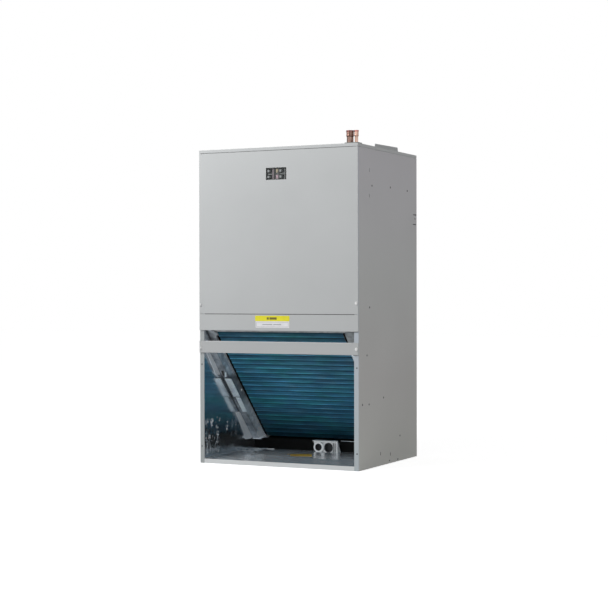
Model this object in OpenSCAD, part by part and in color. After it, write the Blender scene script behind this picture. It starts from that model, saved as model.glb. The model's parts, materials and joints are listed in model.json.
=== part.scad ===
// Upright indoor air handling unit: a painted sheet-metal cabinet with a slanted
// cooling coil behind an open front return, a blower under the top supply outlet,
// a drain pan with two drain ports and two copper line stubs.
// Millimetres. Z is up, the front faces -Y, the origin is the middle of the base.

/* [Cabinet] */
// Overall width
cabinet_w = 508; // [460:1:600]
// Overall depth, front panel face to back
cabinet_d = 438; // [425:1:520]
// Height without the duct flanges and line stubs
cabinet_h = 914; // [890:1:1000]
// Sheet metal thickness
sheet = 1.2; // [0.8:0.1:1.6]
// How far the front panels stand in front of the side flanges
panel_proud = 3.5; // [3:0.5:8]
// Width of the flanges along the side panels
flange_w = 14; // [12:0.5:18]
// Height of the flange along the front of the base
base_flange_h = 13; // [10:0.5:13.5]
// Height of the lip round the top panel
top_lip_h = 9; // [6:0.5:14]
// Visible seam between neighbouring panels
seam = 0.8; // [0.4:0.1:1.5]

/* [Front] */
// Bottom edge of the upper front panel
door_bottom = 437; // [430:1:460]
// Bottom edge of the filter panel, which is the top of the filter slot
filter_panel_bottom = 389; // [375:1:400]
// Height of the filter slot
filter_slot_h = 31.5; // [20:0.5:40]
// Height of the cross rail under the filter slot
cross_rail_h = 34; // [25:1:45]
// Depth of the cross rail's folds behind the front
cross_rail_fold = 18; // [10:1:20]
// Width of the breaker window
window_w = 65; // [62:0.2:80]
// Height of the breaker window
window_h = 34.6; // [33:0.2:50]
// Distance from the top of the cabinet down to the middle of the breaker window
window_drop = 76.5; // [60:0.5:110]

/* [Coil] */
// Tilt of the coil from upright
coil_tilt = 44; // [38:0.5:46]
// Depth of the fins' upper front edge behind the front
fin_top_depth = 31.5; // [30:0.5:40]
// Drop of the fins' upper front edge under the filter panel
fin_top_drop = 5; // [2:0.5:10]
// Thickness of the finned block
fin_depth = 40; // [30:1:45]
// Distance from the left side to the fins
fin_left_gap = 32; // [28:1:45]
// Distance from the right side to the fins, with room for the line connections
fin_right_gap = 51; // [45:1:70]
// Distance between tube rows along the slant
tube_pitch = 19; // [18:0.5:26]
// Depth of the ripple of the fin edges between two tubes
fin_ripple = 1.5; // [0.5:0.1:2.5]
// How far the left end plate stands in front of the fins
left_reach = 33; // [20:1:36]
// How far the right end plate stands in front of the fins
right_reach = 18; // [10:1:30]
// Gap between the end plates' flanges and the side liners
flange_gap = 2; // [1:0.5:4]

/* [Drain] */
// Height of the drain pan
pan_h = 34; // [28:1:40]
// How far the pan reaches in front of the fins' lower edge
pan_reach = 22; // [15:1:40]
// Wall thickness of the drain pan
pan_wall = 3; // [2:0.5:4]
// Bore of the larger drain port
drain_bore = 26.4; // [20:0.2:28]
// Bore of the smaller drain port
overflow_bore = 20.6; // [16:0.2:22]

/* [Liners] */
// Thickness of the foil-faced liner on the walls
wall_liner = 6.8; // [4:0.2:10]
// Thickness of the foil-faced liner on the floor
floor_liner = 12.7; // [11.8:0.1:16]

/* [Supply outlet] */
// Distance from each side to the outlet
outlet_side_gap = 40; // [36:1:80]
// Depth of the outlet from front to back
outlet_d = 194; // [185:1:240]
// Distance from the back to the outlet
outlet_back_gap = 44; // [20:1:60]
// Height of the duct flanges
duct_flange_h = 19; // [12:0.5:25]

/* [Blower] */
// Width of the blower housing
blower_w = 240; // [180:1:300]
// Radius of the blower wheel
wheel_r = 108; // [90:1:110]
// Number of blades
blade_n = 36; // [24:1:48]
// Gap between the wheel and the housing at the cut-off
cutoff_gap = 13; // [8:1:18]
// Growth of the scroll's radius from the cut-off to the outlet
scroll_growth = 56; // [40:1:60]

/* [Lines] */
// Outside diameter of the suction line
suction_od = 19.1; // [12.7:0.1:22.3]
// Outside diameter of the liquid line
liquid_od = 9.5; // [6.4:0.1:12.7]
// Wall thickness of the line stubs
line_wall = 1; // [0.8:0.1:1.2]
// Height of the line stubs above the top
line_h = 39; // [28:1:60]
// Depth of the sockets at the ends of the stubs
socket_h = 15; // [10:0.5:20]
// Radial clearance of the sockets round a line
socket_fit = 0.1; // [0.05:0.05:0.2]
// Clear gap between the rims of the two line stubs
line_clear = 1.4; // [0.8:0.1:12]
// Distance from the right side to the liquid line
liquid_inset = 20; // [17:0.5:22]
// Distance from the front to both lines
line_depth = 36; // [32:0.5:50]

/* [Breakers] */
// Height of one pole
pole_h = 18.25; // [17:0.25:18.5]
// Width of each breaker's face in the window
breaker_face_w = 30; // [27:0.5:31]
// Length of each breaker
breaker_l = 61; // [50:1:80]
// Depth of the breaker faces behind the front
face_recess = 6; // [4:0.5:8]
// Throw of the switch handles from side to side
handle_throw = 30; // [20:1:30]

/* [Hidden] */
$fn = 64;

// Panel heights
side_top = cabinet_h - top_lip_h - seam;
slot_bottom = filter_panel_bottom - filter_slot_h;
rail_bottom = slot_bottom - cross_rail_h;
flange_back = panel_proud + sheet;
back_inner = cabinet_d - sheet;
back_flange = back_inner - sheet;

// Inner faces of the liners
liner_x = sheet + wall_liner;
floor_z = sheet + floor_liner;
liner_back_y = back_flange - wall_liner;
liner_drop = 7;
liner_top = door_bottom - liner_drop;
mid_rail_below = 32;
mid_rail_above = 28;
mid_rail_fold = 14;

// Coil corners, as depth from the front and height
fin_left = fin_left_gap;
fin_right = cabinet_w - fin_right_gap;
fin_top_z = filter_panel_bottom - fin_top_drop;
pan_top = floor_z + pan_h;
fin_pan_gap = 3.8;
fin_bottom_z = pan_top + fin_pan_gap;
fin_len = (fin_top_z - fin_bottom_z) / cos(coil_tilt);
fin_bottom_y = fin_top_depth + fin_len * sin(coil_tilt);
ripple_n = floor(fin_len / tube_pitch);
ripple_pitch = fin_len / ripple_n;
end_plate_t = 1.5;
end_plate_back = 10;
end_plate_front = flange_back + cross_rail_fold + 1;
foot_inner = 16;
foot_depth = 36;
clip_t = 1.2;
clip_start = 0.36;
clip_step = 3;
clip_l = [80, 65];
clip_w = [23, 16];
clip_inset = [5, 11];
strip_gap = 0.3;
strip_face = strip_gap + end_plate_t;
strip_over = 8;
strip_l = 50;
strip_tab_s = 2;
strip_tab_w = 10;
left_tab_l = 12;
right_tab_l = 48;
baffle_reach = 30;

// Drain pan and fitting
pan_front = fin_bottom_y - pan_reach;
pan_gap = 1.2;
fitting_depth = 25;
fitting_w = 84;
fitting_x = 261;
fitting_top_t = 4;
fitting_edge_t = 2;
port_gap = 34;
port_wall = 3;
port_floor_cut = 2;
port_z = floor_z + drain_bore / 2 + port_wall - port_floor_cut;
port_closed = 3;
overflow_ring = 6;
overflow_inset = 4;
boss_r = 27;
boss_setback = 8;
collar_gap = 2;
collar_w = 3;
collar_h = 1.6;
end_wall_t = 4.5;
end_sweep = 19.8;
end_draft = 12.8;

// Supply outlet and blower
outlet_back = cabinet_d - outlet_back_gap;
outlet_front = outlet_back - outlet_d;
tab_slant = 6;
tab_rise = 3.3;
cross_tab_inset = 38;
deck_margin = 12;
deck_z = cabinet_h - 2 * sheet;
scroll_r0 = wheel_r + cutoff_gap;
scroll_r1 = scroll_r0 + scroll_growth;
blower_rim = 8;
blower_y = outlet_back - blower_rim - scroll_r1;
blower_drop = 221.6;
blower_z = deck_z - blower_drop;
scroll_n = 40;
inlet_r = wheel_r - 12;
wheel_w = blower_w - 30;
ring_w = 14;
blade_t = 0.8;
blade_w = 24;
blade_tilt = 28;
motor_r = 62;
motor_l = 150;
shaft_r = 6.35;
hub_r = 18;
hub_l = 30;
motor_gap = 8;
bracket_arm_r = 4;
bracket_band_t = 4;
bracket_band_w = 20;
bracket_arm_n = 3;
press_gap = 0.05;

// Breakers and the plate behind them
window_shift = 1.2;
window_x = cabinet_w / 2 - window_shift;
window_z = cabinet_h - window_drop;
breaker_gap = 1.8;
breaker_back = 58;
pivot_depth = face_recess + 8;
pocket_w = 14.4;
left_pin_inset = 8.7;
right_pin_inset = 14.4;
toggle_pitch = 16.8;
pocket_back = pivot_depth + 8;
pocket_h = 2 * pole_h - 3.5;
face_t = 1.5;
toggle_w = 7;
toggle_h = 7;
toggle_slot_h = 12;
handle_hub_r = 3.4;
handle_pin_r = 1.5;
handle_pin_gap = 0.08;
handle_pin_l = 1.4;
plate_below = 55;
plate_above = 40;
plate_bottom = window_z - plate_below;
plate_top = window_z + plate_above;
plate_fold = 12;

// Line stubs
line_drop = 70;
plate_margin_x = [2.5, 6];
plate_margin_y = [6.5, 9.5];
plate_corner_r = 6;
pipe_plate_h = 4.4;
line_gap = 0.15;
top_hole_margin = 1.5;
swage_h = 3;
swage_ring = 0.4;
rim_w = 0.8;
rim_h = 2.6;
liquid_x = cabinet_w - liquid_inset;
suction_x = liquid_x - rim_r(liquid_od) - line_clear - rim_r(suction_od);

// Side panel slots, as depth from the front and distance under the top
side_slots = [[80, 70], [79, 142]];
side_slot_w = 3;
side_slot_h = 10;
hang_slot_back = 15;
hang_slots = [[cabinet_d - hang_slot_back, 181], [cabinet_d - hang_slot_back, 210]];
hang_slot_w = 3;
hang_slot_l = 24;

// Radius of the rim round a line's socket
function rim_r(od) = od / 2 + socket_fit + line_wall + rim_w;
function fx(x) = x - cabinet_w / 2;
function fy(y) = y - cabinet_d / 2;

// A point of the coil's profile: s along the slant from the top, n in front of the fins
function coil_pt(s, n) = [
    fy(fin_top_depth + s * sin(coil_tilt) - n * cos(coil_tilt)),
    fin_top_z - s * cos(coil_tilt) - n * sin(coil_tilt)
];

// A box given by its limits from the left, the front and the floor
module box(x0, x1, y0, y1, z0, z1) {
    translate([fx(x0), fy(y0), z0])
        cube([x1 - x0, y1 - y0, z1 - z0]);
}

// A depth-height profile extruded from x0 to x1
module along_x(x0, x1) {
    translate([fx(x0), 0, 0])
        rotate([90, 0, 90])
            linear_extrude(height = x1 - x0)
                children();
}

// Copies a left-hand piece to the right side
module to_right() {
    mirror([1, 0, 0])
        children();
}

// A shallow tray with its folds toward the cabinet, as the front panels are made
module front_tray(z0, z1) {
    difference() {
        box(0, cabinet_w, 0, panel_proud, z0, z1);
        box(sheet, cabinet_w - sheet, sheet, panel_proud + 1, z0 + sheet, z1 - sheet);
    }
}

module base_panel() {
    color("gray") {
        box(sheet, cabinet_w - sheet, flange_back, back_flange, 0, sheet);
        box(flange_w, cabinet_w - flange_w, panel_proud, flange_back, 0, base_flange_h);
        box(flange_w, cabinet_w - flange_w, back_flange, back_inner, 0, base_flange_h);
        box(sheet, 2 * sheet, flange_back, back_flange, 0, base_flange_h);
        box(cabinet_w - 2 * sheet, cabinet_w - sheet, flange_back, back_flange, 0, base_flange_h);
    }
}

module side_sheet() {
    difference() {
        union() {
            box(0, sheet, panel_proud, back_inner, 0, side_top);
            box(0, flange_w, panel_proud, flange_back, 0, side_top);
            box(0, flange_w, back_flange, back_inner, 0, side_top);
            box(0, 2 * sheet, panel_proud, back_inner, side_top - sheet, side_top);
            box(sheet, 2 * sheet, flange_back, back_flange, side_top - sheet, cabinet_h - sheet);
        }
        for (s = side_slots)
            box(-1, sheet + 1, s[0] - side_slot_w / 2, s[0] + side_slot_w / 2,
                cabinet_h - s[1] - side_slot_h / 2, cabinet_h - s[1] + side_slot_h / 2);
        for (s = hang_slots)
            box(-1, sheet + 1, s[0] - hang_slot_l / 2, s[0] + hang_slot_l / 2,
                cabinet_h - s[1] - hang_slot_w / 2, cabinet_h - s[1] + hang_slot_w / 2);
    }
}

module left_side_panel() {
    color("silver")
        side_sheet();
}

module right_side_panel() {
    color("silver")
        to_right()
            side_sheet();
}

module back_panel() {
    color("silver")
        box(0, cabinet_w, back_inner, cabinet_d, 0, side_top);
}

// A tab bent up at the outlet's edge, h0 high at its start and h1 at its end
module duct_tab(l, h0, h1) {
    rotate([90, 0, 0])
        linear_extrude(height = sheet)
            polygon([[-l / 2, 0], [l / 2, 0], [l / 2 - tab_slant, h1], [-l / 2 + tab_slant, h0]]);
}

module top_panel() {
    outlet_w = cabinet_w - 2 * outlet_side_gap;
    tab_z = cabinet_h - sheet;
    mid_y = (outlet_front + outlet_back) / 2;
    color("silver") {
        difference() {
            box(0, cabinet_w, 0, cabinet_d, cabinet_h - top_lip_h, cabinet_h);
            box(sheet, cabinet_w - sheet, sheet, back_inner, cabinet_h - top_lip_h - 1, cabinet_h - sheet);
            box(outlet_side_gap, cabinet_w - outlet_side_gap, outlet_front, outlet_back,
                cabinet_h - sheet - 1, cabinet_h + 1);
            box(suction_x - suction_od / 2 - top_hole_margin,
                liquid_x + liquid_od / 2 + top_hole_margin,
                line_depth - suction_od / 2 - top_hole_margin,
                line_depth + suction_od / 2 + top_hole_margin,
                cabinet_h - sheet - 1, cabinet_h + 1);
        }
        translate([0, fy(outlet_front), tab_z])
            duct_tab(outlet_w - 2 * cross_tab_inset, duct_flange_h, duct_flange_h);
        translate([0, fy(outlet_back) + sheet, tab_z])
            duct_tab(outlet_w - 2 * cross_tab_inset, duct_flange_h, duct_flange_h);
        translate([-outlet_w / 2, fy(mid_y), tab_z])
            rotate([0, 0, -90])
                duct_tab(outlet_d - 2 * tab_slant, duct_flange_h + tab_rise, duct_flange_h);
        translate([outlet_w / 2, fy(mid_y), tab_z])
            rotate([0, 0, 90])
                duct_tab(outlet_d - 2 * tab_slant, duct_flange_h, duct_flange_h + tab_rise);
    }
}

module upper_front_panel() {
    color("lightgray")
        difference() {
            front_tray(door_bottom, side_top);
            box(window_x - window_w / 2, window_x + window_w / 2, -1, sheet + 1,
                window_z - window_h / 2, window_z + window_h / 2);
        }
}

module filter_panel() {
    color("lightgray")
        front_tray(filter_panel_bottom, door_bottom - seam);
}

module cross_rail() {
    fold_x = flange_w + 1;
    fold_back = panel_proud + cross_rail_fold;
    color("lightgray") {
        front_tray(rail_bottom, slot_bottom);
        box(fold_x, cabinet_w - fold_x, panel_proud - sheet, fold_back, slot_bottom - sheet, slot_bottom);
        box(fold_x, cabinet_w - fold_x, panel_proud - sheet, fold_back, rail_bottom, rail_bottom + sheet);
    }
}

module mid_rail() {
    rail_z0 = door_bottom - mid_rail_below;
    rail_z1 = door_bottom + mid_rail_above;
    color("silver") {
        box(flange_w, cabinet_w - flange_w, panel_proud, flange_back, rail_z0, rail_z1);
        box(flange_w, cabinet_w - flange_w, panel_proud, flange_back + mid_rail_fold, rail_z1 - sheet, rail_z1);
    }
}

module control_plate() {
    color("silver") {
        box(sheet, cabinet_w - sheet, breaker_back, breaker_back + sheet, plate_bottom, plate_top);
        box(sheet, 2 * sheet, breaker_back - plate_fold, breaker_back + sheet, plate_bottom, plate_top);
        box(cabinet_w - 2 * sheet, cabinet_w - sheet, breaker_back - plate_fold, breaker_back + sheet,
            plate_bottom, plate_top);
    }
}

// A two-pole breaker laid on its side: x0 and x1 bound its face, b0 and b1 its body, mid is its pin
module breaker(x0, x1, b0, b1, mid) {
    difference() {
        union() {
            box(x0, x1, face_recess, face_recess + 3, window_z - pole_h, window_z + pole_h);
            box(b0, b1, face_recess + 2, breaker_back, window_z - pole_h, window_z + pole_h);
        }
        box(mid - pocket_w / 2, mid + pocket_w / 2, face_recess + face_t, pocket_back,
            window_z - pocket_h / 2, window_z + pocket_h / 2);
        for (s = [-1, 1])
            box(mid - pocket_w / 2, mid + pocket_w / 2, face_recess - 1, face_recess + face_t + 1,
                window_z + s * toggle_pitch / 2 - toggle_slot_h / 2, window_z + s * toggle_pitch / 2 + toggle_slot_h / 2);
        translate([fx(mid), fy(pivot_depth), window_z])
            cylinder(r = handle_pin_r + handle_pin_gap, h = pocket_h + 2 * handle_pin_l + 0.4, center = true);
    }
}

// Two tied toggles on one pin, thrown to the left
module breaker_handle(mid) {
    toggle_tip = pivot_depth - 1;
    hub_l_in = pocket_h - 0.6;
    translate([fx(mid), fy(pivot_depth), window_z]) {
        cylinder(r = handle_hub_r, h = hub_l_in, center = true);
        cylinder(r = handle_pin_r, h = pocket_h + 2 * handle_pin_l, center = true);
        rotate([0, 0, -handle_throw / 2])
            for (s = [-1, 1])
                translate([-toggle_w / 2, -toggle_tip, s * toggle_pitch / 2 - toggle_h / 2])
                    cube([toggle_w, toggle_tip, toggle_h]);
    }
}

left_face = [window_x - breaker_gap / 2 - breaker_face_w, window_x - breaker_gap / 2];
right_face = [window_x + breaker_gap / 2, window_x + breaker_gap / 2 + breaker_face_w];
left_pin = left_face[0] + left_pin_inset;
right_pin = right_face[1] - right_pin_inset;

module left_breaker() {
    color("dimgray")
        breaker(left_face[0], left_face[1], left_face[1] - breaker_l, left_face[1], left_pin);
}

module right_breaker() {
    color("dimgray")
        breaker(right_face[0], right_face[1], right_face[0], right_face[0] + breaker_l, right_pin);
}

module left_breaker_handle() {
    color("gray")
        breaker_handle(left_pin);
}

module right_breaker_handle() {
    color("gray")
        breaker_handle(right_pin);
}

module floor_liner_pad() {
    color("slategray")
        box(2 * sheet, cabinet_w - 2 * sheet, flange_back, back_flange, sheet, floor_z);
}

module left_liner() {
    color("slategray")
        box(sheet, liner_x, flange_back, back_flange, floor_z, liner_top);
}

module right_liner() {
    color("slategray")
        to_right()
            box(sheet, liner_x, flange_back, back_flange, floor_z, liner_top);
}

module back_liner() {
    color("slategray")
        box(liner_x, cabinet_w - liner_x, liner_back_y, back_flange, floor_z, liner_top);
}

// The finned block: both faces ripple from tube to tube
module coil_fins() {
    front = [for (i = [0 : 2 * ripple_n]) coil_pt(i * ripple_pitch / 2, i % 2 == 1 ? -fin_ripple : 0)];
    rear = [for (i = [2 * ripple_n : -1 : 0])
        coil_pt(i * ripple_pitch / 2, i % 2 == 1 ? fin_ripple - fin_depth : -fin_depth)];
    color("steelblue")
        along_x(fin_left, fin_right)
            polygon(concat(front, rear));
}

// The part of an end plate's profile that clears the cross rail and the pan
module plate_clear() {
    intersection() {
        children();
        translate([fy(end_plate_front), pan_top])
            square([cabinet_d, cabinet_h]);
    }
}

// Outline of an end plate: flush with the fins' face above, a channel below
module end_plate_outline(reach) {
    plate_clear()
        polygon([
            coil_pt(-end_plate_back, strip_face), coil_pt(strip_l, strip_face), coil_pt(strip_l, reach),
            coil_pt(fin_len + 2 * reach, reach), coil_pt(fin_len + 2 * reach, -fin_depth - end_plate_back),
            coil_pt(-end_plate_back, -fin_depth - end_plate_back)
        ]);
}

// A flat band of an end plate from s0 to s1 down the slant, with its face n in front of the fins
module plate_band(s0, s1, n) {
    plate_clear()
        polygon([coil_pt(s0, n), coil_pt(s1, n), coil_pt(s1, n - end_plate_t), coil_pt(s0, n - end_plate_t)]);
}

// An end plate: web, flange toward the side, face strip with a tab over the fins, foot on the pan's lip
module end_plate(edge_x, side, wall_x, reach, tab_l) {
    web = [min(edge_x, edge_x + side * end_plate_t), max(edge_x, edge_x + side * end_plate_t)];
    wing = [min(edge_x, wall_x), max(edge_x, wall_x)];
    tab = [min(edge_x, edge_x - side * strip_tab_w), max(edge_x, edge_x - side * strip_tab_w)];
    foot = [min(edge_x - side * foot_inner, wall_x), max(edge_x - side * foot_inner, wall_x)];
    foot_front = pan_front - foot_depth / 2;
    along_x(web[0], web[1])
        end_plate_outline(reach);
    along_x(wing[0], wing[1]) {
        plate_band(strip_l, fin_len + 2 * reach, reach);
        plate_band(-strip_over, strip_l, strip_face);
    }
    along_x(tab[0], tab[1])
        plate_band(strip_tab_s, strip_tab_s + tab_l, strip_face);
    box(foot[0], foot[1], foot_front, foot_front + foot_depth, pan_top, pan_top + sheet);
}

module left_coil_end_plate() {
    color("gainsboro")
        end_plate(fin_left, -1, liner_x + flange_gap, left_reach, left_tab_l);
}

module right_coil_end_plate() {
    color("gainsboro")
        end_plate(fin_right, 1, cabinet_w - liner_x - flange_gap, right_reach, right_tab_l);
}

// Covers the top end of the finned block and closes the gap behind the filter panel
module coil_top_baffle() {
    color("gainsboro")
        along_x(fin_left, fin_right)
            polygon([
                coil_pt(0, 0), coil_pt(0, -fin_depth), coil_pt(-sheet, -fin_depth), coil_pt(-sheet, -sheet),
                coil_pt(-sheet, 0) + [0, baffle_reach], coil_pt(0, 0) + [-sheet, baffle_reach],
                coil_pt(0, 0) + [-sheet, 0]
            ]);
}

// Two plates on the flange of an end plate, one after the other down the slant
module coil_clips(wall_x, side, reach) {
    for (i = [0, 1]) {
        s = fin_len * clip_start + i * (clip_l[0] + clip_step);
        near = wall_x - side * clip_inset[i];
        far = near - side * clip_w[i];
        along_x(min(near, far), max(near, far))
            polygon([
                coil_pt(s, reach), coil_pt(s + clip_l[i], reach),
                coil_pt(s + clip_l[i], reach + clip_t), coil_pt(s, reach + clip_t)
            ]);
    }
}

module left_coil_clips() {
    color("whitesmoke")
        coil_clips(liner_x + flange_gap, -1, left_reach);
}

module right_coil_clips() {
    color("whitesmoke")
        coil_clips(cabinet_w - liner_x - flange_gap, 1, right_reach);
}

module drain_pan() {
    x0 = liner_x + pan_gap;
    x1 = cabinet_w - liner_x - pan_gap;
    y1 = liner_back_y - pan_gap;
    color("black")
        difference() {
            box(x0, x1, pan_front, y1, floor_z, pan_top);
            box(x0 + pan_wall, x1 - pan_wall, pan_front + pan_wall, y1 - pan_wall, floor_z + pan_wall, pan_top + 1);
        }
}

// A round of the drain fitting that points to the front, from back to back + l
module port_round(x, r, l, back = 0) {
    translate([fx(x), fy(pan_front) - back, port_z])
        rotate([90, 0, 0])
            cylinder(r = r, h = l);
}

// A front outline of the drain fitting, extruded forward from the pan
module fitting_outline(l) {
    translate([0, fy(pan_front), 0])
        rotate([90, 0, 0])
            linear_extrude(height = l)
                children();
}

// Moulded block with two drain ports: a flat top over a web, a boss, a collared port and an end wall swept back
module drain_fitting() {
    left = fitting_x - fitting_w / 2;
    right = fitting_x + fitting_w / 2;
    overflow_r = overflow_bore / 2 + overflow_ring;
    overflow_x = left + overflow_inset + overflow_r;
    drain_r = drain_bore / 2 + port_wall;
    drain_x = overflow_x + port_gap;
    web_l = fitting_depth - boss_setback;
    color("white")
        difference() {
            union() {
                fitting_outline(fitting_depth)
                    polygon([
                        [fx(left), pan_top], [fx(left), pan_top - fitting_edge_t],
                        [fx(overflow_x), pan_top - fitting_top_t], [fx(drain_x), pan_top - fitting_top_t],
                        [fx(right), pan_top - fitting_edge_t], [fx(right), pan_top]
                    ]);
                fitting_outline(web_l)
                    polygon([
                        [fx(left), pan_top - fitting_edge_t], [fx(overflow_x - overflow_r), port_z],
                        [fx(drain_x + boss_r), port_z], [fx(right), pan_top - fitting_edge_t]
                    ]);
                port_round(overflow_x, overflow_r, fitting_depth);
                port_round(drain_x, drain_r, fitting_depth);
                port_round(drain_x, drain_r + collar_h, collar_w, web_l + collar_gap);
                port_round(drain_x, boss_r, web_l);
                box(right - end_wall_t, right, pan_front - fitting_depth, pan_front, floor_z, pan_top);
            }
            translate([fx(right), fy(pan_front - fitting_depth), pan_top])
                rotate([0, -end_draft, end_sweep])
                    translate([0, -cabinet_d / 2, -cabinet_h / 2])
                        cube([cabinet_w, cabinet_d, cabinet_h]);
            port_round(overflow_x, overflow_bore / 2, fitting_depth, port_closed);
            port_round(drain_x, drain_bore / 2, fitting_depth, port_closed);
            box(0, cabinet_w, 0, cabinet_d, -1, floor_z);
            box(0, cabinet_w, 0, cabinet_d, pan_top, cabinet_h);
        }
}

// Scroll outline in depth and height, grown by e, with its outlet open up to the height top
function scroll_r(a, e) = scroll_r0 + scroll_growth * (a - 90) / 270 + e;
function scroll(e, top) = concat(
    [for (i = [0 : scroll_n])
        let (start = 90 + asin(e / (scroll_r0 + e)), a = start + (360 - start) * i / scroll_n)
        [fy(blower_y) + scroll_r(a, e) * cos(a), blower_z + scroll_r(a, e) * sin(a)]],
    [[fy(blower_y) + scroll_r1 + e, top], [fy(blower_y) - e, top]]
);

module blower_housing() {
    x0 = (cabinet_w - blower_w) / 2;
    x1 = (cabinet_w + blower_w) / 2;
    color("lightsteelblue")
        difference() {
            along_x(x0, x1)
                polygon(scroll(sheet, deck_z));
            along_x(x0 + sheet, x1 - sheet)
                polygon(scroll(0, deck_z + 1));
            translate([0, fy(blower_y), blower_z])
                rotate([0, 90, 0])
                    cylinder(r = inlet_r, h = cabinet_w, center = true);
        }
}

module blower_deck() {
    color("silver")
        difference() {
            box(outlet_side_gap - deck_margin, cabinet_w - outlet_side_gap + deck_margin,
                outlet_front - deck_margin, outlet_back + deck_margin, deck_z, deck_z + sheet);
            translate([-blower_w / 2 + sheet, fy(blower_y), deck_z - 1])
                cube([blower_w - 2 * sheet, scroll_r1, sheet + 2]);
        }
}

module blower_wheel() {
    color("darkgray")
        translate([0, fy(blower_y), blower_z])
            rotate([0, 90, 0]) {
                for (s = [-1, 1])
                    translate([0, 0, s * (wheel_w - ring_w) / 2])
                        difference() {
                            cylinder(r = wheel_r, h = ring_w, center = true);
                            cylinder(r = wheel_r - sheet, h = ring_w + 1, center = true);
                        }
                difference() {
                    union() {
                        cylinder(r = wheel_r, h = 2 * sheet, center = true);
                        cylinder(r = hub_r, h = hub_l, center = true);
                    }
                    cylinder(r = shaft_r + press_gap, h = hub_l + 1, center = true);
                }
                for (i = [0 : blade_n - 1])
                    rotate([0, 0, 360 * i / blade_n])
                        translate([wheel_r - sheet / 2, 0, 0])
                            rotate([0, 0, blade_tilt])
                                translate([-blade_w, -blade_t / 2, -wheel_w / 2 + 1])
                                    cube([blade_w, blade_t, wheel_w - 2]);
            }
}

module blower_motor() {
    motor_x = -hub_l / 2 - motor_gap - motor_l;
    color("darkslategray")
        translate([0, fy(blower_y), blower_z])
            rotate([0, 90, 0]) {
                translate([0, 0, motor_x])
                    cylinder(r = motor_r, h = motor_l);
                translate([0, 0, motor_x + motor_l])
                    cylinder(r = shaft_r, h = motor_gap + hub_l);
            }
}

module motor_bracket() {
    band_x = -blower_w / 2 - bracket_band_w;
    color("silver")
        translate([0, fy(blower_y), blower_z])
            rotate([0, 90, 0]) {
                translate([0, 0, band_x])
                    difference() {
                        cylinder(r = motor_r + bracket_band_t, h = bracket_band_w);
                        translate([0, 0, -1])
                            cylinder(r = motor_r + press_gap, h = bracket_band_w + 2);
                    }
                for (i = [0 : bracket_arm_n - 1])
                    rotate([0, 0, 360 * i / bracket_arm_n])
                        translate([motor_r + bracket_band_t - 1, -bracket_band_w / 2, band_x + bracket_band_w - bracket_arm_r])
                            cube([inlet_r - motor_r + 12, bracket_band_w, bracket_arm_r]);
            }
}

module pipe_plate() {
    x0 = suction_x - suction_od / 2 - plate_margin_x[0];
    x1 = liquid_x + liquid_od / 2 + plate_margin_x[1];
    y0 = line_depth - suction_od / 2 - plate_margin_y[0];
    y1 = line_depth + suction_od / 2 + plate_margin_y[1];
    z0 = cabinet_h;
    z1 = cabinet_h + pipe_plate_h;
    color("dimgray")
        difference() {
            union() {
                box(x0 + plate_corner_r, x1 - plate_corner_r, y0, y1, z0, z1);
                box(x0, x1, y0 + plate_corner_r, y1 - plate_corner_r, z0, z1);
                for (x = [x0 + plate_corner_r, x1 - plate_corner_r], y = [y0 + plate_corner_r, y1 - plate_corner_r])
                    translate([fx(x), fy(y), z0])
                        cylinder(r = plate_corner_r, h = pipe_plate_h);
            }
            translate([fx(suction_x), fy(line_depth), cabinet_h])
                cylinder(r = suction_od / 2 + line_gap, h = 3 * pipe_plate_h, center = true);
            translate([fx(liquid_x), fy(line_depth), cabinet_h])
                cylinder(r = liquid_od / 2 + line_gap, h = 3 * pipe_plate_h, center = true);
        }
}

// A copper line whose upper end is swaged to a socket with a ring at its foot and a rim
module line_stub(od, x) {
    r = od / 2;
    socket_r = r + socket_fit;
    outer_r = socket_r + line_wall;
    foot = line_h - socket_h;
    translate([fx(x), fy(line_depth), cabinet_h])
        rotate_extrude()
            polygon([
                [r - line_wall, -line_drop], [r, -line_drop],
                [r, foot - swage_h], [outer_r + swage_ring, foot - swage_h / 3],
                [outer_r + swage_ring, foot + swage_h / 3], [outer_r, foot + swage_h],
                [outer_r, line_h - 2 * rim_h], [outer_r + rim_w, line_h - rim_h], [outer_r + rim_w, line_h],
                [socket_r, line_h], [socket_r, foot], [r - line_wall, foot]
            ]);
}

module suction_stub() {
    color("peru")
        line_stub(suction_od, suction_x);
}

module liquid_stub() {
    color("peru")
        line_stub(liquid_od, liquid_x);
}

base_panel();
left_side_panel();
right_side_panel();
back_panel();
top_panel();
upper_front_panel();
filter_panel();
cross_rail();
mid_rail();
control_plate();
left_breaker();
right_breaker();
left_breaker_handle();
right_breaker_handle();
floor_liner_pad();
left_liner();
right_liner();
back_liner();
coil_fins();
left_coil_end_plate();
right_coil_end_plate();
coil_top_baffle();
left_coil_clips();
right_coil_clips();
drain_pan();
drain_fitting();
blower_housing();
blower_deck();
blower_wheel();
blower_motor();
motor_bracket();
pipe_plate();
suction_stub();
liquid_stub();
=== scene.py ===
# %% [markdown]
# # An upright air handling unit
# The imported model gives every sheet-metal piece, the coil, the drain, the blower and the
# breakers at their real size. This lesson dresses it: first the camera and the light, then
# one finish at a time, then the small things that solids leave out, such as fins, screws,
# foil wrinkles and labels. All places are in the model's own frame, so a new piece goes
# straight where it belongs.

# %% Load the frame
import json
import math

import bmesh
import bpy
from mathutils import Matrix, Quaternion, Vector, noise


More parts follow.
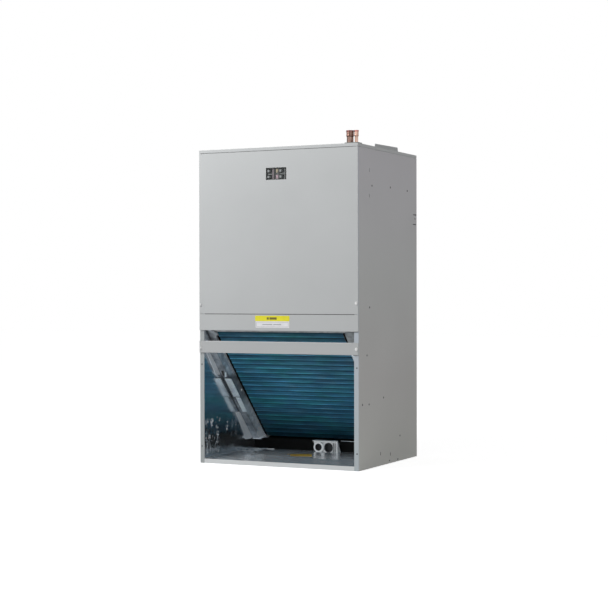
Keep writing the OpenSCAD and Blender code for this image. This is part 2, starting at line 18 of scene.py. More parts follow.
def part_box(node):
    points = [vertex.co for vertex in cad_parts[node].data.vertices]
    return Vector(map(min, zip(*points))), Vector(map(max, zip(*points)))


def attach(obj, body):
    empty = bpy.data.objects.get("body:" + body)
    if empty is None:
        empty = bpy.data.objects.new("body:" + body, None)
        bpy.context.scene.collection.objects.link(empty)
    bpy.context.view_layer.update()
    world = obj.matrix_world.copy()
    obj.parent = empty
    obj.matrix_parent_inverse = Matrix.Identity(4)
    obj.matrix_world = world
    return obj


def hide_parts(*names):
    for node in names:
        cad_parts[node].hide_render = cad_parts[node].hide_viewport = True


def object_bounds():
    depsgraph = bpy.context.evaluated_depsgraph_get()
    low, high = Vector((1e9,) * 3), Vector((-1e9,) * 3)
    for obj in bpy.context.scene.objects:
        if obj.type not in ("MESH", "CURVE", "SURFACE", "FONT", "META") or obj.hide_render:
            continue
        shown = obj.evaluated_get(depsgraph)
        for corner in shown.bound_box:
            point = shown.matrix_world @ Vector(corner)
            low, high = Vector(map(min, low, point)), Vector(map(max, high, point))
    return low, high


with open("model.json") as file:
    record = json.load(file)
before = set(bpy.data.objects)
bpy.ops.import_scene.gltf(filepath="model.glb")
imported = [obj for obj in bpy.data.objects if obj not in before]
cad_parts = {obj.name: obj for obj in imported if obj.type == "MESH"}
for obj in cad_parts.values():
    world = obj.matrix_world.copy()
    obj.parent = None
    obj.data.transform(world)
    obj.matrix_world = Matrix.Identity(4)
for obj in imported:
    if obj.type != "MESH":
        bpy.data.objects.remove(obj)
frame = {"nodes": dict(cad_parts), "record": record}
cad_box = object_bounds()
nodes = frame["nodes"]
MM = 0.001
CABINET_W, CABINET_D = (round(cad_box[1][axis] - cad_box[0][axis], 6) for axis in (0, 1))
print("nodes:", len(nodes), "box:", [tuple(round(v, 3) for v in c) for c in cad_box])

# %% [markdown]
# ## Camera
# The photograph was taken from the right of the front, at about half the cabinet's height,
# with a long lens held nearly level, so upright edges stay upright. The focal length is
# written in pixels of the 608 pixel frame and turned into the lens length that Blender uses.

# %% Camera
PHOTO_PX = 608
FOCAL_PX = 1496.5
SENSOR = 36.0
EYE = Vector((1.9471, -4.0179, 0.4966))
EYE_AZIMUTH = math.radians(26.09)
EYE_DIP = math.radians(0.416)
EYE_ROLL = math.radians(-0.099)

camera_data = bpy.data.cameras.new("photo_camera")
camera_data.sensor_width = SENSOR
camera_data.lens = FOCAL_PX / PHOTO_PX * SENSOR
camera = bpy.data.objects.new("photo_camera", camera_data)
bpy.context.scene.collection.objects.link(camera)
look = Vector((
    -math.sin(EYE_AZIMUTH) * math.cos(EYE_DIP),
    math.cos(EYE_AZIMUTH) * math.cos(EYE_DIP),
    -math.sin(EYE_DIP),
))
camera.rotation_mode = "QUATERNION"
camera.location = EYE
camera.rotation_quaternion = look.to_track_quat("-Z", "Y") @ Quaternion((0, 0, 1), EYE_ROLL)
bpy.context.scene.camera = camera
print("lens", round(camera_data.lens, 1), "mm")

# %% [markdown]
# ## Small helpers for node trees
# A material is a small graph. It could be drawn by hand in the shader editor, but a script can
# be read and run again. These helpers add a node with its values set by name and join two
# sockets, so that each finish below reads as a short list of what it is made of.

# %% Node helpers
def add(tree, kind, **values):
    made = tree.nodes.new(kind)
    for name, value in values.items():
        made.inputs[name.replace("_", " ")].default_value = value
    return made


def blank_material(name, colour, metallic=0.0, roughness=0.5):
    mat = bpy.data.materials.new(name)
    mat.use_nodes = True
    skin = mat.node_tree.nodes["Principled BSDF"]
    skin.inputs["Base Color"].default_value = (*colour, 1.0)
    skin.inputs["Metallic"].default_value = metallic
    skin.inputs["Roughness"].default_value = roughness
    mat.diffuse_color = (*colour, 1.0)
    return mat, mat.node_tree, skin


def math_node(tree, operation, a, b=None):
    """A math node whose inputs are sockets or plain numbers."""
    made = tree.nodes.new("ShaderNodeMath")
    made.operation = operation
    for slot, value in zip(made.inputs, (a, b)):
        if value is None:
            continue
        if hasattr(value, "node"):
            tree.links.new(value, slot)
        else:
            slot.default_value = value
    return made.outputs["Value"]


# %% [markdown]
# ## Ramps, ranges and bump
# Most finishes start from one grey value, such as a noise. A range stretches it, a colour ramp
# turns it into a tone, tones are laid over each other by multiplying, and bump lets the value
# shade the surface as if it were raised.

# %% Ramps, ranges and bump
def ramp_between(tree, source, stops):
    ramp = tree.nodes.new("ShaderNodeValToRGB")
    steps = ramp.color_ramp.elements
    for step, (place, colour) in zip(steps, (stops[0], stops[-1])):
        step.position = place
        step.color = (*colour, 1.0)
    for place, colour in stops[1:-1]:
        steps.new(place).color = (*colour, 1.0)
    tree.links.new(source, ramp.inputs["Fac"])
    return ramp.outputs["Color"]


def spread(tree, source, low, high, from_low=0.0, from_high=1.0):
    span = add(tree, "ShaderNodeMapRange", From_Min=from_low, From_Max=from_high, To_Min=low, To_Max=high)
    tree.links.new(source, span.inputs["Value"])
    return span.outputs["Result"]


def ramp_over(tree, source, low, high, stops):
    """A colour ramp laid over the stretch of a measure from low to high."""
    return ramp_between(tree, spread(tree, source, 0.0, 1.0, low, high), stops)


def multiply(tree, first, *others):
    for other in others:
        mix = tree.nodes.new("ShaderNodeMix")
        mix.data_type = "RGBA"
        mix.blend_type = "MULTIPLY"
        mix.inputs[0].default_value = 1.0
        tree.links.new(first, mix.inputs[6])
        tree.links.new(other, mix.inputs[7])
        first = mix.outputs[2]
    return first


def bump_from(tree, skin, height, strength, distance):
    bump = add(tree, "ShaderNodeBump", Strength=strength, Distance=distance)
    tree.links.new(height, bump.inputs["Height"])
    tree.links.new(bump.outputs["Normal"], skin.inputs["Normal"])


# %% [markdown]
# ## Patterns that stay on the piece
# A pattern has to stay where it is when the camera or a joint moves. So every pattern reads
# the piece's own Object coordinates: noise where it is irregular, and one axis or a slanted
# direction where a tone changes along the piece.

# %% Patterns that stay on the piece
def object_noise(tree, scale, detail=2.0, stretch=(1.0, 1.0, 1.0), rough=0.5):
    place = tree.nodes.new("ShaderNodeTexCoord")
    turn = add(tree, "ShaderNodeMapping", Scale=stretch)
    grain = add(tree, "ShaderNodeTexNoise", Scale=scale, Detail=detail, Roughness=rough)
    tree.links.new(place.outputs["Object"], turn.inputs["Vector"])
    tree.links.new(turn.outputs["Vector"], grain.inputs["Vector"])
    return grain.outputs["Fac"]


def object_axes(tree):
    place = tree.nodes.new("ShaderNodeTexCoord")
    split = tree.nodes.new("ShaderNodeSeparateXYZ")
    tree.links.new(place.outputs["Object"], split.inputs["Vector"])
    return split.outputs


def object_along(tree, direction):
    """How far a point lies along a direction that is fixed to the object."""
    place = tree.nodes.new("ShaderNodeTexCoord")
    reach = tree.nodes.new("ShaderNodeVectorMath")
    reach.operation = "DOT_PRODUCT"
    reach.inputs[1].default_value = direction
    tree.links.new(place.outputs["Object"], reach.inputs[0])
    return reach.outputs["Value"]


def tint(colour, factor):
    return tuple(min(1.0, c * factor) for c in colour)


def grey(value):
    return (value, value, value)


def mottled(tree, skin, colour, scale, detail, dark, light):
    """Lets a colour drift between a darker and a lighter tint of itself."""
    drift = object_noise(tree, scale, detail)
    tone = ramp_between(tree, drift, [(0.3, tint(colour, dark)), (0.7, tint(colour, light))])
    tree.links.new(tone, skin.inputs["Base Color"])
    return drift, tone


# %% [markdown]
# ## World and floor
# The studio is a white sweep. The world is white for the camera and in reflections, and
# dimmer as a light, so that the lamps still shape the cabinet. The floor could be a shadow
# catcher, but here it is a real surface. It glows for the camera and in reflections, so that it
# stays white, and it still takes the soft shadow under the cabinet.

# %% World and floor
WORLD_LIGHT = 0.31
FLOOR_GLOW = 0.76
FLOOR_HALF = 12.0
PAPER_WHITE = 0.78


def seen_directly(tree):
    """1 for rays from the camera and for mirror and glass rays, 0 for rays that carry light."""
    rays = tree.nodes.new("ShaderNodeLightPath").outputs
    shiny = math_node(tree, "MAXIMUM", rays["Is Glossy Ray"], rays["Is Transmission Ray"])
    return math_node(tree, "MAXIMUM", rays["Is Camera Ray"], shiny)


def make_world():
    world = bpy.data.worlds.new("studio")
    world.use_nodes = True
    tree = world.node_tree
    tree.nodes.clear()
    sky = add(tree, "ShaderNodeBackground", Color=(1.0, 1.0, 1.0, 1.0))
    tree.links.new(spread(tree, seen_directly(tree), WORLD_LIGHT, 1.0), sky.inputs["Strength"])
    out = tree.nodes.new("ShaderNodeOutputWorld")
    tree.links.new(sky.outputs["Background"], out.inputs["Surface"])
    bpy.context.scene.world = world


def white_sweep():
    mat = bpy.data.materials.new("white_sweep")
    mat.use_nodes = True
    tree = mat.node_tree
    tree.nodes.clear()
    paper = add(tree, "ShaderNodeBsdfDiffuse", Color=(*grey(PAPER_WHITE), 1.0))
    glow = add(tree, "ShaderNodeEmission", Color=(1.0, 1.0, 1.0, 1.0))
    tree.links.new(spread(tree, seen_directly(tree), 0.0, FLOOR_GLOW), glow.inputs["Strength"])
    both = tree.nodes.new("ShaderNodeAddShader")
    tree.links.new(paper.outputs["BSDF"], both.inputs[0])
    tree.links.new(glow.outputs["Emission"], both.inputs[1])
    out = tree.nodes.new("ShaderNodeOutputMaterial")
    tree.links.new(both.outputs["Shader"], out.inputs["Surface"])
    return mat


def make_floor():
    corners = [(x * FLOOR_HALF, y * FLOOR_HALF, 0) for x, y in ((-1, -1), (1, -1), (1, 1), (-1, 1))]
    mesh = bpy.data.meshes.new("studio_floor")
    mesh.from_pydata(corners, [], [(0, 1, 2, 3)])
    mesh.materials.append(white_sweep())
    floor = bpy.data.objects.new("studio_floor", mesh)
    bpy.context.scene.collection.objects.link(floor)


bpy.context.scene.view_settings.view_transform = "Standard"
make_world()
make_floor()
print("world and floor made")

# %% [markdown]
# ## Lamps
# A broad soft lamp high on the left of the front makes the upper left of the front the
# brightest place and lets the right side fall to a mid grey. A second soft lamp stands low on
# the right and reaches into the open return. Area lamps are used because a large lamp gives
# the soft shadow edges of a studio.

# %% Lamps
KEY_LAMP = {"place": (-0.90, -1.40, 1.82), "aim": (-0.10, -0.2, 0.74), "size": (0.8, 0.8), "power": 26.0}
FILL_LAMP = {"place": (1.35, -2.1, 0.45), "aim": (0.0, 0.0, 0.2), "size": (1.2, 0.9), "power": 6.0}


def soft_lamp(name, place, aim, size, power):
    data = bpy.data.lights.new(name, "AREA")
    data.shape = "RECTANGLE"
    data.size, data.size_y = size
    data.energy = power
    lamp = bpy.data.objects.new(name, data)
    lamp.location = place
    lamp.rotation_mode = "QUATERNION"
    lamp.rotation_quaternion = (Vector(aim) - Vector(place)).to_track_quat("-Z", "Y")
    bpy.context.scene.collection.objects.link(lamp)


soft_lamp("key_lamp", **KEY_LAMP)
soft_lamp("fill_lamp", **FILL_LAMP)
print("lamps made")

# %% [markdown]
# ## Painted sheet metal
# The cabinet has a light grey satin powder coat. A fine noise gives its orange peel as bump,
# and a broad one shifts colour and gloss by a few percent. In the photograph the base, the
# cross rail and the two sides don't have quite the tone of the front. Each of them has a coat
# of its own, tinted or with a ramp along the piece, set by comparing a render with the photograph.
# These tints and ramps are painted light and shade: the base is lightened, the rail and the left
# flange are darkened, and the right side is darker towards the floor and cooler on its flange.

# %% Powder coat
CABINET_GREY = (0.500, 0.515, 0.520)
FLANGE_NEAR, FLANGE_FAR = -216.0 * MM, -211.0 * MM
PEEL_DEPTH = 0.08 * MM


def right_painted_light_and_shade(tree):
    """Paints shade on the right side towards the floor, light higher up and a cooler light on its front
    flange, as in the photograph.
    """
    axes = object_axes(tree)
    side = ramp_between(tree, axes["Z"], [
        (0.05, (0.97, 0.95, 0.89)),
        (0.25, (0.97, 0.93, 0.90)),
        (0.55, (1.04, 1.03, 1.01)),
        (0.85, (1.11, 1.06, 1.10)),
    ])
    stops = [(0.0, (0.94, 1.04, 1.17)), (1.0, grey(1.0))]
    return multiply(tree, side, ramp_over(tree, axes["Y"], FLANGE_NEAR, FLANGE_FAR, stops))


def left_painted_shade(tree):
    """Paints shade on the left front flange, as in the photograph; the side behind it stays lighter."""
    stops = [(0.0, (0.74, 0.77, 0.77)), (1.0, grey(0.96))]
    return ramp_over(tree, object_axes(tree)["Y"], FLANGE_NEAR, FLANGE_FAR, stops)


def powder_coat(name, colour, shade=None):
    mat, tree, skin = blank_material(name, colour, roughness=0.45)
    _, tone = mottled(tree, skin, colour, 3.5, 3.0, 0.965, 1.03)
    # Where a shade function is given, it multiplies painted light and shade into the coat.
    if shade:
        tree.links.new(multiply(tree, tone, shade(tree)), skin.inputs["Base Color"])
    gloss = spread(tree, object_noise(tree, 14.0, detail=4.0), 0.40, 0.52)
    tree.links.new(gloss, skin.inputs["Roughness"])
    bump_from(tree, skin, object_noise(tree, 1100.0, detail=1.0), 0.10, PEEL_DEPTH)
    return mat


paint = powder_coat("cabinet_powder_coat", CABINET_GREY)
# The base is a lighter copy of the coat, painted light on its front flange, and the cross rail a darker
# copy, painted shade. The sides carry painted light and shade from the ramps above.
base_painted_light_coat = powder_coat("base_coat_painted_light", tint(CABINET_GREY, 1.38))
rail_painted_shade_coat = powder_coat("rail_coat_painted_shade", tint(CABINET_GREY, 0.92))
left_painted_shade_coat = powder_coat("left_coat_painted_shade", CABINET_GREY, left_painted_shade)
right_painted_light_and_shade_coat = powder_coat("right_coat_painted_light_and_shade", CABINET_GREY, right_painted_light_and_shade)
print("made", ", ".join(coat.name for coat in (paint, base_painted_light_coat, rail_painted_shade_coat, left_painted_shade_coat, right_painted_light_and_shade_coat)))

# %% [markdown]
# ## Galvanised steel
# The coil's end plates, the clips, the blower and the inner rails are bare galvanised sheet.
# Zinc freezes in flat crystals, the spangle, each with its own brightness and gloss. A cell
# texture gives every crystal one random value, which tints the metal and changes its gloss.

# %% Galvanised steel
ZINC = (0.68, 0.73, 0.79)
SPANGLE = 95.0
GRAIN_DEPTH = 0.1 * MM


def galvanised(name, colour, metallic, shade=None):
    mat, tree, skin = blank_material(name, colour, metallic=metallic, roughness=0.4)
    place = tree.nodes.new("ShaderNodeTexCoord")
    crystals = add(tree, "ShaderNodeTexVoronoi", Scale=SPANGLE, Randomness=1.0)
    tree.links.new(place.outputs["Object"], crystals.inputs["Vector"])
    parts = tree.nodes.new("ShaderNodeSeparateColor")
    tree.links.new(crystals.outputs["Color"], parts.inputs["Color"])
    tone = ramp_between(tree, parts.outputs["Red"], [(0.0, tint(colour, 0.80)), (1.0, tint(colour, 1.12))])
    smear = ramp_between(tree, object_noise(tree, 30.0, 3.0), [(0.3, (0.84, 0.86, 0.88)), (0.7, grey(1.0))])
    sheet = multiply(tree, tone, smear)
    # Where a shade function is given, it multiplies painted light and shade into the sheet.
    if shade:
        sheet = multiply(tree, sheet, shade(tree))
    tree.links.new(sheet, skin.inputs["Base Color"])
    tree.links.new(spread(tree, parts.outputs["Green"], 0.30, 0.50), skin.inputs["Roughness"])
    bump_from(tree, skin, object_noise(tree, 420.0, detail=3.0), 0.12, GRAIN_DEPTH)
    return mat


zinc = galvanised("galvanised_steel", ZINC, 0.7)
clip_zinc = galvanised("bright_clip_steel", (0.80, 0.90, 1.0), 0.40)
print("made", zinc.name, "and", clip_zinc.name)

# %% [markdown]
# ## Tones of the coil's frame
# In the photograph the left end plate is darker half way up, brighter at its foot and dark on
# its outer flange, and the zinc in the filter slot is dull. Whether that is wear or shadow
# can't be told. Ramps along the height and out from the coil's slant give these tones: painted
# shade on the outer flange and in the slot above the cross rail, painted light beside the fins
# and under the rail, and the plate made darker half way up and lighter at its foot.

# %% Tones of the coil's frame
COIL_TILT = math.radians(44.0)
COIL_OUT = Vector((0.0, -math.cos(COIL_TILT), -math.sin(COIL_TILT)))
COIL_TOP = Vector((0.0, 31.5 * MM - CABINET_D / 2, 384.0 * MM))
COIL_ZERO = COIL_TOP.dot(COIL_OUT)
PLATE_OUT = 40.0 * MM
PLATE_TOP = 400.0 * MM
SLOT_LOW = 300.0 * MM
FLANGE_PAINTED_SHADE = (0.42, 0.44, 0.46)


def plate_painted_light_and_shade(tree):
    """Paints shade on the end plate's flange and above the cross rail and light beside the fins; also
    darkens it half way up and lightens its foot, as in the photograph.
    """
    height = object_axes(tree)["Z"]
    painted_light_and_shade_band = ramp_over(tree, height, 0.0, PLATE_TOP, [(place, grey(tone)) for place, tone in (
        (0.0, 1.45), (0.15, 1.5), (0.24, 1.0), (0.38, 0.9), (0.46, 0.36),
        (0.61, 0.30), (0.65, 1.0), (0.87, 1.0), (0.90, 0.55), (1.0, 0.48),
    )])
    fold = ramp_over(tree, object_along(tree, COIL_OUT), COIL_ZERO, COIL_ZERO + PLATE_OUT, [
        (0.0, grey(1.35)), (0.30, grey(1.05)), (0.76, grey(0.90)), (0.79, FLANGE_PAINTED_SHADE), (1.0, FLANGE_PAINTED_SHADE),
    ])
    mottle = ramp_between(tree, object_noise(tree, 55.0, 4.0, stretch=(1.0, 0.7, 0.7)), [
        (0.34, (0.66, 0.67, 0.68)), (0.5, grey(1.0)), (0.66, (1.28, 1.26, 1.24)),
    ])
    return multiply(tree, painted_light_and_shade_band, fold, mottle)


def slot_painted_light_and_shade(tree):
    """Paints shade on the zinc above the cross rail and light under it, as in the photograph."""
    painted_light_below = (1.1, 1.14, 1.16)
    return ramp_over(tree, object_axes(tree)["Z"], SLOT_LOW, PLATE_TOP, [
        (0.0, painted_light_below), (0.48, painted_light_below), (0.58, grey(0.52)), (0.80, grey(0.44)), (1.0, grey(0.46)),
    ])


# Both zincs carry painted light and shade from these ramps.
slot_zinc_painted_light_and_shade = galvanised("slot_zinc_painted_light_and_shade", (0.80, 0.84, 0.86), 0.45, slot_painted_light_and_shade)
end_plate_painted_zinc = galvanised("end_plate_zinc_painted_light_and_shade", (0.80, 0.85, 0.90), 0.45, plate_painted_light_and_shade)
print("made", slot_zinc_painted_light_and_shade.name, "and", end_plate_painted_zinc.name)

# %% [markdown]
# ## Foil
# The liners are faced with thin aluminium foil. On the walls it is nearly a mirror: in the
# photograph the left wall shows the coil and the end plate a second time. On the floor it is
# duller, most of all at the left. Where it is crushed it has small pale flecks. All share one
# finish with different gloss and metal share, and the wrinkles come later as real shape.

# %% Foil
FOIL = (0.88, 0.91, 0.94)
WRINKLE_DEPTH = 0.6 * MM
FLOOR_LEFT, FLOOR_MIDDLE = -220.0 * MM, 20.0 * MM


def metal_to_right(tree, metallic):
    """The metal share rises from the left wall to the middle of the floor."""
    return spread(tree, object_axes(tree)["X"], metallic, 0.72, FLOOR_LEFT, FLOOR_MIDDLE)


def metal_in_flecks(tree, metallic):
    """Small flecks in some places lose nearly all their metal share, so they look pale."""
    grain = object_noise(tree, 170.0, detail=2.0, stretch=(1.0, 0.8, 0.8))
    fleck = spread(tree, grain, 0.0, 1.0, 0.50, 0.56)
    where = spread(tree, object_noise(tree, 26.0, detail=1.0), 0.0, 1.0, 0.36, 0.50)
    return spread(tree, math_node(tree, "MULTIPLY", fleck, where), metallic, 0.05)


def foil_face(name, metallic, gloss, metal_share=None):
    """Bare foil; metal_share, where given, lays the metal share over the piece."""
    mat, tree, skin = blank_material(name, FOIL, metallic=metallic, roughness=gloss[0])
    haze = object_noise(tree, 22.0, detail=5.0, rough=0.6)
    tree.links.new(spread(tree, haze, gloss[0], gloss[1], 0.3, 0.7), skin.inputs["Roughness"])
    tone = ramp_between(tree, haze, [(0.3, FOIL), (0.75, tint(FOIL, 0.86))])
    tree.links.new(tone, skin.inputs["Base Color"])
    bump_from(tree, skin, object_noise(tree, 160.0, detail=3.0), 0.10, WRINKLE_DEPTH)
    if metal_share:
        tree.links.new(metal_share(tree, metallic), skin.inputs["Metallic"])
    return mat


wall_foil = foil_face("wall_foil", 0.97, (0.13, 0.20))
crushed_foil = foil_face("crushed_foil", 0.97, (0.13, 0.20), metal_in_flecks)
floor_foil = foil_face("floor_foil", 0.56, (0.14, 0.26), metal_to_right)
# A duller foil, laid on the left wall as a painted reflection of the end plate's flange and on one raised
# crease on the floor.
dull_foil = foil_face("dull_foil", 0.30, (0.40, 0.50))
print("made", ", ".join(foil.name for foil in (wall_foil, crushed_foil, floor_foil, dull_foil)))

# %% [markdown]
# ## Plastics
# The pan is black with a low sheen, the drain fitting white, and the breakers are dark grey
# with paler toggles. A moulded face is never quite even, so a fine speck shifts the colour and
# lifts the surface a little, and a broader noise changes the gloss.

# %% Plastics
def plastic(name, colour, roughness, sheen=0.5, grain=600.0, bump=0.08):
    mat, tree, skin = blank_material(name, colour, roughness=roughness)
    skin.inputs["Specular IOR Level"].default_value = sheen
    speck, _ = mottled(tree, skin, colour, grain, 2.0, 0.92, 1.06)
    gloss = spread(tree, object_noise(tree, 40.0, 3.0), roughness * 0.85, roughness * 1.15)
    tree.links.new(gloss, skin.inputs["Roughness"])
    bump_from(tree, skin, speck, bump, GRAIN_DEPTH)
    return mat


black_pan = plastic("pan_black", (0.0055, 0.0058, 0.006), 0.6, sheen=0.05)
white_fitting = plastic("fitting_white", (0.93, 0.95, 0.97), 0.36)
plate_grey = plastic("pipe_plate_grey", (0.24, 0.25, 0.24), 0.5)
breaker_case = plastic("breaker_grey", (0.12, 0.13, 0.13), 0.45)
toggle_grey = plastic("toggle_grey", (0.24, 0.255, 0.26), 0.42)
motor_black = plastic("motor_black", (0.02, 0.02, 0.022), 0.4, grain=250.0)
print("made six plastics and paints")

# %% [markdown]
# ## Copper
# Two copper stubs stand on the top, a wide dull one and a thin bright one; the dull and the
# bright are a painted reflection, dark on the wide stub and bright on the thin one. Both end in a
# widened socket with a ring below it and a red rim. Noise that is stretched along the tube
# gives the streaks of tarnish, and a ramp along the height gives the ring and the rim.

# %% Copper
COPPER_RED = (0.80, 0.42, 0.48)
STUB_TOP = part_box("suction_stub")[1].z
RING_DROP, RIM_DROP = 15.0 * MM, 3.0 * MM


def copper_tube(name, dull, bright):
    mat, tree, skin = blank_material(name, dull, metallic=1.0, roughness=0.28)
    streaks = object_noise(tree, 190.0, 3.0, stretch=(1.0, 1.0, 0.25))
    tone = ramp_between(tree, streaks, [(0.36, dull), (0.64, bright)])
    low = STUB_TOP - 2 * RING_DROP
    ring, rim = 0.5, 1.0 - RIM_DROP / (2 * RING_DROP)
    warm = ramp_over(tree, object_axes(tree)["Z"], low, STUB_TOP, [
        (0.0, grey(1.0)),
        (ring - 0.08, grey(1.0)),
        (ring, (0.80, 0.62, 0.60)),
        (ring + 0.10, (1.0, 0.94, 0.92)),
        (rim - 0.06, (1.0, 0.90, 0.88)),
        (rim + 0.02, COPPER_RED),
        (1.0, COPPER_RED),
    ])
    tree.links.new(multiply(tree, tone, warm), skin.inputs["Base Color"])
    tree.links.new(spread(tree, object_noise(tree, 60.0, 3.0), 0.30, 0.46), skin.inputs["Roughness"])
    return mat


# The wide stub's darker copper and the thin stub's brighter copper are a painted reflection.
copper_painted_dark_reflection = copper_tube("copper_painted_dark_reflection", (0.11, 0.076, 0.058), (0.31, 0.20, 0.17))
copper_painted_bright_reflection = copper_tube("copper_painted_bright_reflection", (0.38, 0.24, 0.18), (0.66, 0.47, 0.39))
print("made", copper_painted_dark_reflection.name, "and", copper_painted_bright_reflection.name)

# %% [markdown]
# ## Dressing the solids
# Each solid takes its finish through its material slots. Folded sheet has no knife edges, so
# the sheet-metal solids also get a narrow bevel. Their meshes are loose triangles: a Weld
# modifier joins them first, and then Bevel can find the real edges by their angle.

# %% Dress the solids
FINISHES = {
    "cabinet_paint": paint,
    "galvanised_steel": zinc,
    "foil_liner": wall_foil,
    "coated_fins": zinc,
    "pan_plastic": black_pan,
    "fitting_plastic": white_fitting,
    "breaker_case": breaker_case,
    "breaker_toggle": toggle_grey,
    "motor_paint": motor_black,
    "copper": copper_painted_dark_reflection,
}
OWN_FINISH = {
    "base_panel": base_painted_light_coat,
    "left_side_panel": left_painted_shade_coat,
    "right_side_panel": right_painted_light_and_shade_coat,
    "cross_rail": rail_painted_shade_coat,
    "mid_rail": slot_zinc_painted_light_and_shade,
    "coil_top_baffle": slot_zinc_painted_light_and_shade,
    "right_coil_end_plate": slot_zinc_painted_light_and_shade,
    "left_coil_end_plate": end_plate_painted_zinc,
    "left_coil_clips": clip_zinc,
    "right_coil_clips": clip_zinc,
    "pipe_plate": plate_grey,
    "liquid_stub": copper_painted_bright_reflection,
}
FOLD_R, MOULD_R, PAN_R = 0.5 * MM, 0.9 * MM, 1.2 * MM
MOULDED = ("drain_fitting", "left_breaker_handle", "right_breaker_handle", "pipe_plate")
ROUND_R = dict.fromkeys(MOULDED, MOULD_R)
ROUND_R["drain_pan"] = PAN_R
LEFT_SHARP = ("coil_fins", "blower_wheel", "suction_stub", "liquid_stub", "blower_motor")


def soften(piece, radius):
    weld = piece.modifiers.new("weld", "WELD")
    weld.merge_threshold = 1e-6
    bevel = piece.modifiers.new("fold", "BEVEL")
    bevel.width = radius
    bevel.segments = 2
    bevel.limit_method = "ANGLE"
    bevel.angle_limit = math.radians(40)


for entry in frame["record"]["subparts"]:
    name = entry["node"]
    piece = nodes[name]
    piece.data.materials.clear()
    piece.data.materials.append(OWN_FINISH.get(name, FINISHES[entry["material_slot"]]))
    if name not in LEFT_SHARP:
        soften(piece, ROUND_R.get(name, FOLD_R))

# %% [markdown]
# ## Fin coating
# The coil is a stack of some two hundred thin aluminium fins with a blue coating. The edge of
# every fin is rippled from tube to tube, and all ripples line up, so the stack shows level
# bands. Each fin carries its row number as an attribute, and the finish reads it to paint a thin
# highlight on each crest and shade under it. The ramps over the height and width of the stack
# paint shade near the pan and on the right and light higher up and on the left; they were set by
# comparing a render with the photograph, where the fins are darker near the pan and on the right.

# %% Fin coating
FIN_BLUE = (0.050, 0.238, 0.345)
FIN_CREST = (0.062, 0.240, 0.320)
CREST_PAINTED_HIGHLIGHT = tint(FIN_CREST, 2.3)
STACK_LOW, STACK_HIGH = 10.0 * MM, 400.0 * MM
STACK_LEFT, STACK_RIGHT = -220.0 * MM, 200.0 * MM
SLANTED_UP = (0.16, 0.0, 1.0)


def fin_coat():
    mat, tree, skin = blank_material("fin_blue_coat", FIN_BLUE, metallic=0.25, roughness=0.40)
    row = tree.nodes.new("ShaderNodeAttribute")
    row.attribute_name = "row"
    # Painted highlight on each crest and painted shade under it.
    painted_light_and_shade_band = ramp_between(tree, math_node(tree, "FRACT", row.outputs["Fac"]), [
        (0.0, CREST_PAINTED_HIGHLIGHT), (0.10, tint(FIN_CREST, 1.35)), (0.20, FIN_BLUE), (0.60, tint(FIN_BLUE, 0.88)),
        (0.76, tint(FIN_BLUE, 0.34)), (0.88, tint(FIN_BLUE, 0.46)), (1.0, CREST_PAINTED_HIGHLIGHT),
    ])
    drift = ramp_between(tree, object_noise(tree, 24.0, 3.0, stretch=(0.4, 1.3, 1.3)), [
        (0.32, (0.80, 1.10, 0.96)), (0.45, (0.95, 1.02, 1.0)),
        (0.56, (1.0, 0.94, 1.06)), (0.68, (1.4, 0.98, 1.02)),
    ])
    streak = ramp_between(tree, object_noise(tree, 30.0, 3.0, stretch=(0.3, 3.0, 3.0), rough=0.7), [
        (0.32, (0.55, 0.60, 0.64)), (0.5, grey(1.0)), (0.68, (1.45, 1.40, 1.35)),
    ])
    # Painted shade near the pan, painted light higher up.
    height = ramp_over(tree, object_along(tree, SLANTED_UP), STACK_LOW, STACK_HIGH, [
        (0.0, (0.22, 0.24, 0.27)), (0.14, (0.42, 0.46, 0.50)), (0.26, (0.85, 0.90, 0.92)),
        (0.40, (1.20, 1.22, 1.24)), (0.60, grey(1.20)), (0.85, grey(1.0)), (1.0, grey(1.0)),
    ])
    # Painted light on the left of the stack, painted shade on the right.
    width = ramp_over(tree, object_axes(tree)["X"], STACK_LEFT, STACK_RIGHT, [
        (0.0, grey(1.10)), (0.35, grey(1.12)), (0.75, (0.86, 0.88, 0.90)), (1.0, (0.84, 0.86, 0.90)),
    ])
    tree.links.new(multiply(tree, painted_light_and_shade_band, drift, streak, height, width), skin.inputs["Base Color"])
    return mat


fin_blue = fin_coat()
print("made", fin_blue.name)

# %% [markdown]
# ## Helpers for Geometry Nodes
# A Geometry Nodes tree has named inputs, so a size can be changed without touching the nodes.
# A modifier runs the tree on an object, and the result is kept as a plain mesh, because the
# export drops live instances.

# %% Geometry node helpers
def vector_node(tree, **parts):
    made = tree.nodes.new("ShaderNodeCombineXYZ")
    for axis, value in parts.items():
        tree.links.new(value, made.inputs[axis])
    return made.outputs["Vector"]


def new_tree(name, inputs):
    tree = bpy.data.node_groups.new(name, "GeometryNodeTree")
    tree.interface.new_socket("Geometry", in_out="INPUT", socket_type="NodeSocketGeometry")
    for label, kind in inputs:
        tree.interface.new_socket(label, in_out="INPUT", socket_type="NodeSocket" + kind)
    tree.interface.new_socket("Geometry", in_out="OUTPUT", socket_type="NodeSocketGeometry")
    return tree, tree.nodes.new("NodeGroupInput").outputs


def chain(tree, geometry, kind, **links):
    """Adds a geometry node behind another one and links its other inputs by name."""
    made = tree.nodes.new(kind)
    tree.links.new(geometry, made.inputs[0])
    for name, source in links.items():
        tree.links.new(source, made.inputs[name.replace("_", " ")])
    return made.outputs[0]


def end_tree(tree, geometry):
    tree.links.new(geometry, tree.nodes.new("NodeGroupOutput").inputs["Geometry"])
    return tree


